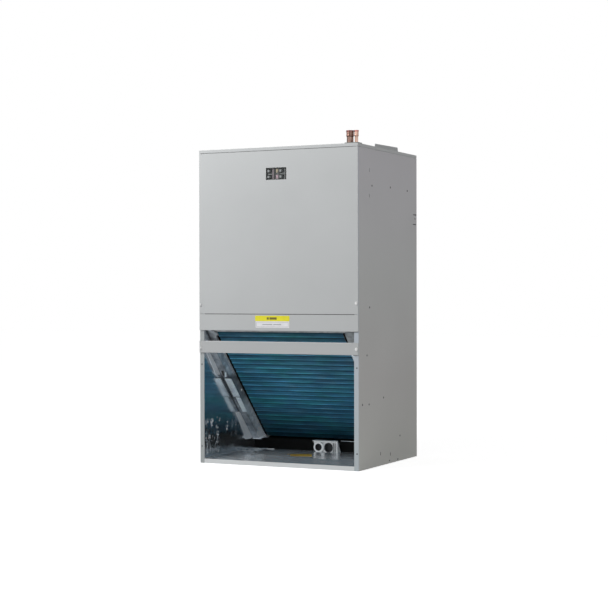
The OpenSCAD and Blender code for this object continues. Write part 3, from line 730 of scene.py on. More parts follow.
def grow(name, tree, settings, points=None):
    """Runs a node tree on a fresh object and keeps its result as a plain mesh."""
    seed = bpy.data.meshes.new(name + "_seed")
    if points is not None:
        seed.from_pydata([p for p, _ in points], [], [])
        facing = seed.attributes.new("facing", "FLOAT_VECTOR", "POINT")
        for i, (_, way) in enumerate(points):
            facing.data[i].vector = way
    maker = bpy.data.objects.new(name + "_maker", seed)
    bpy.context.scene.collection.objects.link(maker)
    grown = maker.modifiers.new("grow", "NODES")
    grown.node_group = tree
    names = {s.name: s.identifier for s in tree.interface.items_tree if s.in_out == "INPUT"}
    for key, value in settings.items():
        grown[names[key]] = value
    view = bpy.context.evaluated_depsgraph_get()
    mesh = bpy.data.meshes.new_from_object(maker.evaluated_get(view))
    mesh.name = name
    maker.modifiers.remove(grown)
    bpy.data.objects.remove(maker)
    piece = bpy.data.objects.new(name, mesh)
    bpy.context.scene.collection.objects.link(piece)
    print(name, "faces:", len(mesh.polygons))
    return piece


# %% [markdown]
# ## Fin stack
# One fin is a thin plate with a thicker hem along its front, and a saw-tooth moves its points.
# An array modifier could repeat it, but a node tree also stores the row number and keeps every
# size as an input. The tree shapes one fin, tips it to the slant and lays copies along a line.

# %% Fin stack tree
FIN_SIZES = ("Fin length", "Fin depth", "Fin thickness", "Hem thickness", "Hem", "Stack width",
             "Ripple", "Sway", "Tube rows", "Tilt")
FIN_INPUTS = [(label, "Float") for label in FIN_SIZES]
FIN_INPUTS += [("Fin count", "Int"), ("Place", "Vector"), ("Coat", "Material")]


def one_fin(tree, use):
    """A plate on end with a thick rippled hem in front; its row number is stored on its points."""
    def calc(operation, a, b=None):
        return math_node(tree, operation, a, b)

    plate = tree.nodes.new("GeometryNodeMeshCube")
    plate.inputs["Vertices X"].default_value = 2
    plate.inputs["Vertices Y"].default_value = 3
    size = vector_node(tree, X=use["Fin thickness"], Y=use["Fin depth"], Z=use["Fin length"])
    tree.links.new(size, plate.inputs["Size"])
    steps = calc("ADD", calc("MULTIPLY", use["Tube rows"], 2.0), 1.0)
    tree.links.new(steps, plate.inputs["Vertices Z"])

    spot = tree.nodes.new("ShaderNodeSeparateXYZ")
    tree.links.new(tree.nodes.new("GeometryNodeInputPosition").outputs["Position"], spot.inputs["Vector"])
    depth = calc("DIVIDE", spot.outputs["Y"], use["Fin depth"])
    front = calc("LESS_THAN", depth, 0.25)
    middle = calc("LESS_THAN", calc("ABSOLUTE", depth), 0.25)
    along = calc("ADD", calc("DIVIDE", spot.outputs["Z"], use["Fin length"]), 0.5)
    rows = calc("MULTIPLY", along, use["Tube rows"])
    saw = calc("PINGPONG", calc("MULTIPLY", rows, 2.0), 1.0)
    stored = tree.nodes.new("GeometryNodeStoreNamedAttribute")
    stored.inputs["Name"].default_value = "row"
    tree.links.new(plate.outputs["Mesh"], stored.inputs["Geometry"])
    tree.links.new(rows, stored.inputs["Value"])

    to_hem = calc("SUBTRACT", use["Hem"], calc("MULTIPLY", use["Fin depth"], 0.5))
    pull = calc("MULTIPLY", calc("MULTIPLY", saw, use["Ripple"]), front)
    shift_y = calc("ADD", calc("MULTIPLY", middle, to_hem), pull)
    swell = calc("SUBTRACT", calc("DIVIDE", use["Hem thickness"], use["Fin thickness"]), 1.0)
    fatter = calc("MULTIPLY", calc("MULTIPLY", spot.outputs["X"], swell), front)
    shift_x = calc("ADD", fatter, calc("MULTIPLY", saw, use["Sway"]))
    offset = vector_node(tree, X=shift_x, Y=shift_y)
    moved = chain(tree, stored.outputs["Geometry"], "GeometryNodeSetPosition", Offset=offset)
    return chain(tree, moved, "GeometryNodeTransform", Rotation=vector_node(tree, X=use["Tilt"]))


def fin_stack_tree():
    tree, use = new_tree("fin_stack", FIN_INPUTS)
    row = tree.nodes.new("GeometryNodeMeshLine")
    row.mode = "END_POINTS"
    half = math_node(tree, "MULTIPLY", use["Stack width"], 0.5)
    tree.links.new(use["Fin count"], row.inputs["Count"])
    start = vector_node(tree, X=math_node(tree, "MULTIPLY", half, -1.0))
    tree.links.new(start, row.inputs["Start Location"])
    tree.links.new(vector_node(tree, X=half), row.inputs["Offset"])
    copies = chain(tree, row.outputs["Mesh"], "GeometryNodeInstanceOnPoints", Instance=one_fin(tree, use))
    real = chain(tree, copies, "GeometryNodeRealizeInstances")
    carried = chain(tree, real, "GeometryNodeTransform", Translation=use["Place"])
    return end_tree(tree, chain(tree, carried, "GeometryNodeSetMaterial", Material=use["Coat"]))


# %% [markdown]
# ## Laying the fins
# The fins fill the place of the solid block, apart from a gap at the left end, which holds a
# dark strip of painted shade. Their length follows from the block's height and its slant.

# %% Lay the fins
FIN_PITCH = 1.85 * MM
FIN_T, FIN_HEM_T = 0.25 * MM, 0.75 * MM
FIN_HEM = 1.3 * MM
FIN_DEPTH = 39.0 * MM
FIN_RIPPLE = 1.0 * MM
FIN_SWAY = 0.5 * MM
FIN_GAP, FIN_END = 8.0 * MM, 1.0 * MM
SLAB_DEPTH = 40.0 * MM
TUBE_ROWS = 24.0

slab_lo, slab_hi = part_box("coil_fins")
slab_w, slab_h = slab_hi.x - slab_lo.x, slab_hi.z - slab_lo.z
fin_len = (slab_h - SLAB_DEPTH * math.sin(COIL_TILT)) / math.cos(COIL_TILT)
fin_stack = grow("coil_fin_stack", fin_stack_tree(), {
    "Fin length": fin_len,
    "Fin depth": FIN_DEPTH,
    "Fin thickness": FIN_T,
    "Hem thickness": FIN_HEM_T,
    "Hem": FIN_HEM,
    "Stack width": slab_w - FIN_GAP - FIN_END,
    "Fin count": int((slab_w - FIN_GAP) / FIN_PITCH),
    "Ripple": FIN_RIPPLE,
    "Sway": FIN_SWAY,
    "Tube rows": TUBE_ROWS,
    "Tilt": COIL_TILT,
    "Place": (slab_lo + slab_hi + Vector((FIN_GAP, 0.0, 0.0))) / 2,
    "Coat": fin_blue,
})
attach(fin_stack, "cabinet")
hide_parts("coil_fins")

# %% [markdown]
# ## Helpers for built meshes
# Pieces that don't repeat are built point by point with bmesh. Their places are measured in
# millimetres from the cabinet's left side, front face and bottom, as on a drawing.

# %% Mesh helpers
def at(x, y, z):
    """A point measured in mm from the cabinet's left side, front face and bottom."""
    return Vector((x * MM - CABINET_W / 2, y * MM - CABINET_D / 2, z * MM))


def ease(low, high, value):
    t = min(1.0, max(0.0, (value - low) / (high - low)))
    return t * t * (3.0 - 2.0 * t)


def rim_path(nu, nv):
    """Index pairs once round the rim of a grid."""
    there = [(i, 0) for i in range(nu)] + [(nu, j) for j in range(nv)]
    back = [(i, nv) for i in range(nu, 0, -1)] + [(0, j) for j in range(nv, 0, -1)]
    return there + back


def publish(name, bm, finishes, body="cabinet"):
    """Turns a bmesh into an object with its finishes and ties it to a body."""
    bmesh.ops.recalc_face_normals(bm, faces=bm.faces)
    mesh = bpy.data.meshes.new(name)
    bm.to_mesh(mesh)
    bm.free()
    for finish in finishes:
        mesh.materials.append(finish)
    piece = bpy.data.objects.new(name, mesh)
    bpy.context.scene.collection.objects.link(piece)
    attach(piece, body)
    print(name, "faces:", len(mesh.polygons))
    return piece


def prism(bm, outline, place, low, high, finish=0):
    """Closes an outline into a plate between two heights; place turns (u, v, height) into a point."""
    rows = [[bm.verts.new(place(u, v, h)) for u, v in outline] for h in (low, high)]
    made = [bm.faces.new(rows[0]), bm.faces.new(rows[1])]
    for i in range(len(outline)):
        j = (i + 1) % len(outline)
        made.append(bm.faces.new((rows[0][i], rows[0][j], rows[1][j], rows[1][i])))
    for face in made:
        face.material_index = finish


# %% [markdown]
# ## Wrinkled foil liners
# A foil liner is never flat. Each pad is rebuilt as a closed slab whose open face is a fine
# grid, and every grid point is lifted by noise. Folded noise, one minus its absolute value,
# gives sharp ridges with soft valleys, as in creased foil. The lift fades out along the rim,
# so that the pad still fills the same place as the solid.

# %% Foil pads
RIM_FADE = 8.0 * MM


def crease(x, y, sharp=2.0, seed=0.0):
    return (1.0 - abs(noise.noise(Vector((x, y, seed))))) ** sharp


def no_sink(p):
    return 0.0


def foil_pad(name, node, axis, side, step, lift, finish, sink=no_sink):
    """Rebuilds a liner as a closed slab with a lifted grid on its open face."""
    lo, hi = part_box(node)
    u, v = [i for i in range(3) if i != axis]
    face, rear = (hi[axis], lo[axis]) if side > 0 else (lo[axis], hi[axis])
    nu, nv = (max(2, round((hi[i] - lo[i]) / step)) for i in (u, v))
    bm = bmesh.new()

    def lifted(i, j):
        p = Vector((0.0, 0.0, 0.0))
        p[u] = lo[u] + (hi[u] - lo[u]) * i / nu
        p[v] = lo[v] + (hi[v] - lo[v]) * j / nv
        p[axis] = face
        rim = min(p[u] - lo[u], hi[u] - p[u], p[v] - lo[v], hi[v] - p[v])
        place = p + Vector((CABINET_W / 2, CABINET_D / 2, 0.0))
        p[axis] += side * (lift(place) * ease(0.0, RIM_FADE, rim) - sink(place))
        return p

    grid = [[bm.verts.new(lifted(i, j)) for j in range(nv + 1)] for i in range(nu + 1)]
    for i in range(nu):
        for j in range(nv):
            bm.faces.new((grid[i][j], grid[i + 1][j], grid[i + 1][j + 1], grid[i][j + 1])).smooth = True
    loop = [grid[i][j] for i, j in rim_path(nu, nv)]
    behind = []
    for vert in loop:
        p = vert.co.copy()
        p[axis] = rear
        behind.append(bm.verts.new(p))
    for i in range(len(loop)):
        j = (i + 1) % len(loop)
        bm.faces.new((loop[i], loop[j], behind[j], behind[i]))
    bm.faces.new(behind)
    pad = publish(name, bm, [finish])
    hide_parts(node)


# %% [markdown]
# ## The lift of floor and walls
# The floor's foil lies in long waves with sharp folds on its left, and falls away towards the
# front, behind the base's flange. The walls are nearly flat, apart from two places low down
# where the foil is creased. Each lift is a small formula of a point measured from the
# cabinet's left front corner.

# %% Lift of floor and walls
PAN_FRONT, PAN_FADE = 296.0 * MM, 15.0 * MM
CREASE_FLOOR, CREASE_WALL = 1.6 * MM, 1.1 * MM
SINK_FROM, SINK_SLOPE = 130.0 * MM, 0.045
FRONT_CREASE_Y = 55.0 * MM
BACK_CREASE_Y, BACK_CREASE_Z = 178.0 * MM, 92.0 * MM


def floor_lift(p):
    bend = 0.8 * noise.noise(p * 7.0)
    waves = 0.5 + 0.5 * noise.noise(Vector((p.x * 5.0, p.y * 17.0 + bend, 0.0)))
    ripple = 0.5 + 0.5 * noise.noise(Vector((p.x * 7.0 + bend, p.y * 38.0 + p.x * 6.0, 3.0)))
    folds = crease(p.x * 6.0 + bend, p.y * 26.0 + p.x * 9.0, 9.0, 4.0)
    left = 1.0 - 0.80 * ease(0.06, 0.30, p.x)
    before_pan = 1.0 - ease(PAN_FRONT - PAN_FADE, PAN_FRONT, p.y)
    return CREASE_FLOOR * (0.8 * waves + 0.45 * ripple + 0.9 * folds * left) * before_pan


def floor_sink(p):
    return max(0.0, SINK_FROM - p.y) * SINK_SLOPE


def wall_lift(p):
    low = 1.0 - ease(0.060, 0.165, p.z + 0.025 * noise.noise(p * 30.0))
    near = 1.0 - ease(0.03, 0.10, abs(p.y - FRONT_CREASE_Y))
    second = 1.0 - ease(0.015, 0.045, abs(p.y - BACK_CREASE_Y))
    second *= 1.0 - ease(0.02, 0.05, abs(p.z - BACK_CREASE_Z))
    streaks = crease(p.y * 60.0, p.z * 24.0, 3.0) + 0.8 * crease(p.y * 120.0, p.z * 50.0, 3.0, 2.0)
    sheet = 0.05 * noise.noise(p * 9.0)
    return CREASE_WALL * (sheet + 0.8 * streaks * max(low * near, 0.9 * second, 0.35 * low))


foil_pad("floor_foil_pad", "floor_liner_pad", 2, 1, 3.0 * MM, floor_lift, floor_foil, floor_sink)
foil_pad("left_foil_pad", "left_liner", 0, 1, 3.0 * MM, wall_lift, wall_foil)
foil_pad("right_foil_pad", "right_liner", 0, -1, 4.0 * MM, wall_lift, wall_foil)
foil_pad("back_foil_pad", "back_liner", 1, -1, 8.0 * MM, wall_lift, wall_foil)

# %% [markdown]
# ## Crumpled places
# Low on the left wall and in the corner by the pan the foil is crushed into steep little
# creases that catch the light as white flecks. A finer grid over just those places holds
# them, and noise also decides which parts of a patch stay smooth.

# %% Crumpled places
CRUSH_STEP = 0.8 * MM
CRUSH_FADE = 12.0 * MM
CRUSH_UNDER, CRUSH_LEAST = -0.6, 0.02
WALL_FACE_X, FLOOR_FACE_Z = 8.0, 14.4
WALL_CELLS, FLOOR_CELLS = (125.0, 95.0), (34.0, 60.0)


def on_wall(y, z, h):
    return at(WALL_FACE_X + h, y, z)


def on_floor(x, y, h):
    return at(x, y, FLOOR_FACE_Z + h)


def ridge(here, width):
    return max(0.0, 1.0 - abs(noise.noise(here)) / width)


def crumple(name, size, place, height, finish, cells, seed=0.0):
    """A closed crushed patch: place(u, v, h) puts it on a surface, cells are creases per metre."""
    u0, u1, v0, v1 = (v * MM for v in size)
    nu, nv = round((u1 - u0) / CRUSH_STEP), round((v1 - v0) / CRUSH_STEP)
    bm = bmesh.new()

    def lift(u, v):
        rim = ease(0.0, CRUSH_FADE, min(u - u0, u1 - u, v - v0, v1 - v))
        here = Vector((u * cells[0], v * cells[1], seed))
        ridges = ridge(here, 0.20) + 0.7 * ridge(here * 1.7, 0.24)
        crushed = ease(-0.28, 0.10, noise.noise(Vector((u * 60.0, v * 36.0, seed + 7.0))))
        return height * rim * crushed * ridges

    tops, lows = [], []
    for i in range(nu + 1):
        u = u0 + (u1 - u0) * i / nu
        spots = [(u, v0 + (v1 - v0) * j / nv) for j in range(nv + 1)]
        tops.append([bm.verts.new(place(u / MM, v / MM, max(CRUSH_LEAST, lift(u, v)))) for u, v in spots])
        lows.append([bm.verts.new(place(u / MM, v / MM, CRUSH_UNDER)) for u, v in spots])
    for i in range(nu):
        for j in range(nv):
            bm.faces.new((tops[i][j], tops[i + 1][j], tops[i + 1][j + 1], tops[i][j + 1]))
    ring = rim_path(nu, nv)
    for (i, j), (k, m) in zip(ring, ring[1:] + ring[:1]):
        bm.faces.new((tops[i][j], tops[k][m], lows[k][m], lows[i][j]))
    bm.faces.new([lows[i][j] for i, j in ring])
    for i in range(1, nu):
        for j in range(1, nv):
            bm.verts.remove(lows[i][j])
    publish(name, bm, [finish])


crumple("wall_crumple_front", (12, 112, 16, 132), on_wall, 0.82, crushed_foil, WALL_CELLS)
crumple("wall_crumple_back", (138, 214, 54, 130), on_wall, 0.78, crushed_foil, WALL_CELLS, seed=3.0)
crumple("floor_crumple", (9, 70, 205, 327), on_floor, 2.6, floor_foil, FLOOR_CELLS, seed=5.0)

# %% [markdown]
# ## Foil strips
# A bright strip runs down the left wall in the photograph. It looks like the end plate's
# flange mirrored in the foil, and the mirror alone gives it too dark, so two thin strips of
# duller foil lie there as a painted reflection. The same piece holds one raised crease on the
# floor by the pan.

# %% Foil strips
UPPER_STRIP = [(26.0, 323.0), (47.0, 323.0), (109.0, 254.0), (82.0, 254.0)]
LOWER_STRIP = [(204.0, 134.0), (231.0, 134.0), (304.0, 60.0), (318.0, 48.0), (268.0, 46.0), (258.0, 62.0)]
FLOOR_CREASE = [(29.0, 286.5), (84.0, 311.5), (84.0, 314.0), (29.0, 289.0)]
STRIP_T, FLOOR_CREASE_H = 0.9, 1.8
# The two wall strips are a painted reflection; the floor crease is a raised fold.
bm = bmesh.new()
for outline in (UPPER_STRIP, LOWER_STRIP):
    prism(bm, outline, on_wall, 0.0, STRIP_T)
prism(bm, FLOOR_CREASE, on_floor, 0.0, FLOOR_CREASE_H)
publish("painted_reflection_strips_and_crease", bm, [dull_foil])

# %% [markdown]
# ## Screws, rivets and punched holes
# Hex-head screws with a washer face hold the panels, two of them white: their heads are light,
# and the white also paints in their highlight. The flanges carry small dark rivets, the left end
# plate a bright one, and the sides have punched pilot holes with a raised lip. All are a low disc
# with a narrower one on top, so one node tree makes them with different numbers. A stored mark
# tells the last Set Material which faces belong to the upper disc, which is dark on a pilot hole
# and stands for the hole itself as painted shade.

# %% Stud tree
STUD_TAPER = 0.88
STUD_SIZES = (("radius", "Float"), ("height", "Float"), ("sides", "Int"), ("finish", "Material"))
STUD_INPUTS = [(f"{disc} {size}", kind) for disc in ("Base", "Top") for size, kind in STUD_SIZES]


def stored_value(tree, name, kind):
    made = tree.nodes.new("GeometryNodeInputNamedAttribute")
    made.data_type = kind
    made.inputs["Name"].default_value = name
    return made.outputs["Attribute"]


def stud_disc(tree, use, disc, under=None):
    """One tapered disc, lifted by the height under it and marked as upper or lower."""
    drum = tree.nodes.new("GeometryNodeMeshCone")
    radius = use[disc + " radius"]
    tree.links.new(use[disc + " sides"], drum.inputs["Vertices"])
    tree.links.new(math_node(tree, "MULTIPLY", radius, STUD_TAPER), drum.inputs["Radius Top"])
    tree.links.new(radius, drum.inputs["Radius Bottom"])
    tree.links.new(use[disc + " height"], drum.inputs["Depth"])
    lifted = drum.outputs["Mesh"]
    if under is not None:
        lifted = chain(tree, lifted, "GeometryNodeTransform", Translation=vector_node(tree, Z=under))
    marked = tree.nodes.new("GeometryNodeStoreNamedAttribute")
    marked.domain = "FACE"
    marked.data_type = "BOOLEAN"
    marked.inputs["Name"].default_value = "upper"
    marked.inputs["Value"].default_value = under is not None
    tree.links.new(lifted, marked.inputs["Geometry"])
    return marked.outputs["Geometry"]


def stud_tree():
    tree, use = new_tree("studs", STUD_INPUTS)
    both = tree.nodes.new("GeometryNodeJoinGeometry")
    tree.links.new(stud_disc(tree, use, "Base"), both.inputs["Geometry"])
    tree.links.new(stud_disc(tree, use, "Top", use["Base height"]), both.inputs["Geometry"])
    aim = tree.nodes.new("FunctionNodeAlignRotationToVector")
    aim.axis = "Z"
    tree.links.new(stored_value(tree, "facing", "FLOAT_VECTOR"), aim.inputs["Vector"])
    copies = chain(tree, use["Geometry"], "GeometryNodeInstanceOnPoints",
                   Instance=both.outputs["Geometry"], Rotation=aim.outputs["Rotation"])
    real = chain(tree, copies, "GeometryNodeRealizeInstances")
    lower = chain(tree, real, "GeometryNodeSetMaterial", Material=use["Base finish"])
    upper = stored_value(tree, "upper", "BOOLEAN")
    done = chain(tree, lower, "GeometryNodeSetMaterial", Selection=upper, Material=use["Top finish"])
    return end_tree(tree, done)


studs = stud_tree()
print("stud inputs:", len(STUD_INPUTS))

# %% [markdown]
# ## Placing the studs
# Each group is a list of points with the way they face, measured in the photograph. The left
# side and the back don't show there: the left side repeats the right side's holes, and the
# back has a plain row of screws along each upright edge.

# %% Place the studs
FRONT, BACK, LEFT, RIGHT = (0, -1, 0), (0, 1, 0), (-1, 0, 0), (1, 0, 0)
FLANGE_Y = 3.5
RIGHT_X, BACK_Y = CABINET_W / MM, CABINET_D / MM
BACK_SCREW_X = (7.0, 501.0)
BACK_SCREW_Z = (30.0, 250.0, 470.0, 690.0, 880.0)
FLANGE_RIVETS = ((6.3, 289.0), (6.1, 49.6), (502.5, 287.6), (502.7, 48.4))
SIDE_HOLES = ((98, 801), (232, 804), (362, 802), (80, 456), (61, 321),
              (29, 183.5), (75, 182), (179, 195), (303, 74.5), (424, 721))
WASHER, HEX_HEAD = (4.3, 0.9, 20), (3.7, 2.6, 6)
WHITE_WASHER, WHITE_HEAD = (4.6, 0.9, 20), (3.9, 2.6, 6)

screw_spots = [(at(4.8, 0.0, z), FRONT) for z in (463.5, 337.0)]
screw_spots += [(at(x, BACK_Y, z), BACK) for x in BACK_SCREW_X for z in BACK_SCREW_Z]
# The two white screws on the right carry a painted highlight as well as their light heads.
white_spots = [(at(502.6, 0.0, 340.0), FRONT), (at(502.5, 0.0, 468.0), FRONT)]
rivet_spots = [(at(x, FLANGE_Y, z), FRONT) for x, z in FLANGE_RIVETS]
hole_spots = [(at(x, y, z), way) for x, way in ((RIGHT_X, RIGHT), (0.0, LEFT)) for y, z in SIDE_HOLES]
web_spots = [(at(32.0, 198.3, 203.6), RIGHT)]


def metal_finish(name, colour, metallic, roughness):
    mat, tree, skin = blank_material(name, colour, metallic=metallic, roughness=roughness)
    mottled(tree, skin, colour, 300.0, 2.0, 0.8, 1.15)
    return mat


screw_zinc = metal_finish("screw_zinc", (0.62, 0.63, 0.63), 0.35, 0.34)
rivet_dark = metal_finish("rivet_dark", grey(0.10), 0.5, 0.4)
rivet_bright = metal_finish("rivet_bright", grey(0.95), 0.0, 0.4)
hole_dark = metal_finish("hole_shadow", grey(0.035), 0.0, 0.8)


def place_studs(name, spots, base, top, finishes):
    """base and top are the radius and height in mm and the number of sides of the two discs."""
    settings = {}
    for disc, sizes, finish in zip(("Base", "Top"), (base, top), finishes):
        settings[disc + " radius"] = sizes[0] * MM
        settings[disc + " height"] = sizes[1] * MM
        settings[disc + " sides"] = sizes[2]
        settings[disc + " finish"] = finish
    made = grow(name, studs, settings, spots)
    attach(made, "cabinet")


place_studs("panel_screws", screw_spots, WASHER, HEX_HEAD, (screw_zinc, screw_zinc))
place_studs("flange_rivets", rivet_spots, (2.3, 0.4, 14), (1.5, 0.5, 12), (rivet_dark, rivet_dark))
# The dark top disc of a pilot hole is painted shade standing for the hole.
place_studs("pilot_holes", hole_spots, (3.7, 0.25, 16), (3.0, 0.1, 14), (paint, hole_dark))
place_studs("white_screws", white_spots, WHITE_WASHER, WHITE_HEAD, (rivet_bright, rivet_bright))
place_studs("web_rivet", web_spots, (3.6, 0.6, 14), (2.9, 0.8, 12), (rivet_bright, rivet_bright))

# %% [markdown]
# ## Labels
# A sticker is a very thin slab with rounded corners. The one on the filter panel has a yellow
# band over a white field with a fine frame, and short grey and brown bars stand where a label
# would carry lettering. A second, ochre strip lies on the floor of the return.

# %% Labels
def rounded(x0, x1, z0, z1, r, steps=4):
    """The outline of a rectangle with round corners."""
    corners = ((x1 - r, z1 - r, 0), (x0 + r, z1 - r, 90), (x0 + r, z0 + r, 180), (x1 - r, z0 + r, 270))
    outline = []
    for cx, cz, start in corners:
        for i in range(steps + 1):
            turn = math.radians(start + 90 * i / steps)
            outline.append((cx + r * math.cos(turn), cz + r * math.sin(turn)))
    return outline


def printed(name, colour, roughness=0.42):
    mat, tree, skin = blank_material(name, colour, roughness=roughness)
    mottled(tree, skin, colour, 70.0, 3.0, 0.94, 1.04)
    return mat


def front_of(y):
    return lambda u, v, h: at(u, y - h, v)


WHITE, YELLOW, GREY, BROWN = range(4)
label_inks = [
    printed("label_white", (0.80, 0.80, 0.82)),
    printed("label_yellow", (0.80, 0.74, 0.03)),
    printed("label_grey", (0.42, 0.42, 0.44)),
    printed("label_brown", (0.16, 0.13, 0.02)),
]
LINE_X0, LINE_X1, LINE_Z0, LINE_Z1, LINE_W = 188.5, 291.5, 401.0, 413.0, 0.8
FRAME_LINES = (
    (LINE_X0, LINE_X0 + LINE_W, LINE_Z0, LINE_Z1),
    (LINE_X1 - LINE_W, LINE_X1, LINE_Z0, LINE_Z1),
    (LINE_X0, LINE_X1, LINE_Z0 - LINE_W, LINE_Z0),
    (LINE_X0, LINE_X1, LINE_Z1, LINE_Z1 + LINE_W),
)
LETTER_BARS = (
    (222.0, 229.0, 421.0, 427.6, BROWN),
    (231.0, 254.0, 421.0, 427.6, BROWN),
    (208.0, 240.0, 405.6, 408.4, GREY),
    (243.0, 268.0, 405.6, 408.4, GREY),
)
INK_UNDER = 0.15
on_panel = front_of(0.0)
bm = bmesh.new()
prism(bm, rounded(186.0, 294.0, 397.8, 418.0, 1.5), on_panel, 0.0, 0.20, WHITE)
prism(bm, rounded(184.5, 295.0, 416.6, 432.2, 3.0), on_panel, 0.0, 0.28, YELLOW)
for line in FRAME_LINES:
    prism(bm, rounded(*line, 0.3, 2), on_panel, INK_UNDER, 0.24, GREY)
for *bar, ink in LETTER_BARS:
    prism(bm, rounded(*bar, 0.6, 2), on_panel, INK_UNDER, 0.33, ink)
publish("filter_label", bm, label_inks)

OCHRE_STRIP = [(189.0, 197.0), (212.5, 150.0), (280.0, 176.0), (255.0, 228.0)]
bm = bmesh.new()
prism(bm, OCHRE_STRIP, on_floor, 0.0, 1.0)
publish("floor_strip", bm, [printed("floor_strip_ochre", (0.36, 0.24, 0.025))])

# %% [markdown]
# ## Breaker faces
# Each two-pole breaker shows a grey side strip next to its toggles, a dark recess and coloured
# marks between the two cases; the dark strips in the recess and the gaps are painted shadow.
# They are thin prisms on the moulded faces.

# %% Breaker faces
BREAKER_FACE_Y = 6.0
MAUVE, BEIGE, PINK, PALE, SHADOW = range(5)
MARK_T, SHADOW_T = 0.4, 0.25
trim_inks = [
    printed("breaker_mauve", (0.20, 0.17, 0.185)),
    printed("breaker_beige", (0.46, 0.40, 0.28)),
    printed("breaker_pink", (0.55, 0.41, 0.46)),
    printed("breaker_pale", (0.26, 0.28, 0.28)),
    printed("breaker_shadow", (0.012, 0.013, 0.013)),
]
BREAKER_MARKS = (
    (238.3, 242.4, 822.0, 852.5, MAUVE),
    (250.2, 253.0, 841.0, 851.5, BEIGE),
    (254.4, 256.2, 841.0, 851.5, BEIGE),
    (250.2, 253.0, 823.6, 834.2, PINK),
    (254.2, 256.6, 823.6, 834.2, PINK),
    (223.4, 236.8, 835.6, 837.0, PALE),
    (277.0, 278.4, 822.0, 853.0, PALE),
    (243.0, 249.8, 821.0, 854.0, SHADOW),
    (223.4, 236.8, 838.0, 839.4, SHADOW),
    (257.0, 262.4, 821.5, 853.5, SHADOW),
    (278.6, 283.4, 821.0, 854.0, SHADOW),
)
bm = bmesh.new()
for *mark, ink in BREAKER_MARKS:
    thick = SHADOW_T if ink == SHADOW else MARK_T
    prism(bm, rounded(*mark, 0.4, 2), front_of(BREAKER_FACE_Y), 0.0, thick, ink)
publish("breaker_trim", bm, trim_inks)

# %% [markdown]
# ## Drain ports
# The two ports are threaded inside. Each bore gets a dark sleeve with a few turned grooves,
# made by spinning a zigzag profile about the bore's axis, and a dark step round its mouth,
# which is wider on the larger port. Two narrow grooves run down the face beside it. The dark of
# the sleeve, the step and the grooves is painted shade on the white fitting.

# %% Drain ports
PORT_Z, PORT_FACE_Y = 28.1, 305.4
PORTS = ((239.3, 10.0, 10.9), (273.3, 12.9, 15.0))
PORT_SIDES = 40
PORT_FLOOR = 10.4
THREAD_START, THREAD_TURNS, THREAD_STEP, THREAD_DEPTH = 0.4, 4, 2.4, 0.7
SLEEVE_T = 0.2
FACE_GROOVES = ((289.4, 291.4), (296.6, 297.8))
BORE, STEP = range(2)
# The dark bore and step finishes are painted shade on the white fitting.
port_dark_painted_shade = plastic("port_bore_painted_shade", (0.022, 0.024, 0.028), 0.5, sheen=0.3)
port_step_painted_shade = plastic("port_step_painted_shade", (0.040, 0.046, 0.056), 0.45, sheen=0.4, grain=260.0)


def circle(cx, cz, r, sides=PORT_SIDES):
    turns = [2.0 * math.pi * i / sides for i in range(sides)]
    return [(cx + r * math.cos(a), cz + r * math.sin(a)) for a in turns]


def spun(bm, cx, cz, profile, finish):
    """Spins a closed (radius, depth) profile about a bore's axis."""
    rings = []
    for r, depth in profile:
        rings.append([bm.verts.new(at(x, PORT_FACE_Y + depth, z)) for x, z in circle(cx, cz, r)])
    for k in range(len(profile)):
        here, there = rings[k], rings[(k + 1) % len(profile)]
        for i in range(PORT_SIDES):
            j = (i + 1) % PORT_SIDES
            bm.faces.new((here[i], here[j], there[j], there[i])).material_index = finish


def thread_profile(bore_r):
    profile = []
    for turn in range(THREAD_TURNS):
        profile.append((bore_r, THREAD_START + turn * THREAD_STEP))
        profile.append((bore_r - THREAD_DEPTH, THREAD_START + (turn + 0.5) * THREAD_STEP))
    deep = THREAD_START + THREAD_TURNS * THREAD_STEP
    return profile + [(bore_r, deep), (bore_r + SLEEVE_T, deep), (bore_r + SLEEVE_T, THREAD_START)]


def step_profile(bore_r, step_r):
    return [(bore_r - 0.3, -0.25), (step_r, -0.25), (step_r, 0.05), (bore_r - 0.3, 0.05)]


bm = bmesh.new()
for port_x, bore_r, step_r in PORTS:
    spun(bm, port_x, PORT_Z, thread_profile(bore_r), BORE)
    spun(bm, port_x, PORT_Z, step_profile(bore_r, step_r), STEP)
    prism(bm, circle(port_x, PORT_Z, bore_r), front_of(PORT_FACE_Y + PORT_FLOOR), 0.0, 0.6, BORE)
for x0, x1 in FACE_GROOVES:
    prism(bm, rounded(x0, x1, 15.0, 41.0, 0.4, 2), front_of(PORT_FACE_Y), 0.0, 0.2, STEP)
publish("port_threads", bm, [port_dark_painted_shade, port_step_painted_shade])

# %% [markdown]
# ## Details of the coil's frame
# A black strip of painted shade closes the gap between the fins and the left end plate, and a
# narrower one lies at the right end. The left plate's flange has a notch, dark with painted
# shade, with a bent tab above the clips and a turned-up lip at its foot, and a narrow bright lip
# runs along the pan on the right. The shade strips, the notch and the tab follow the slant of
# the coil.

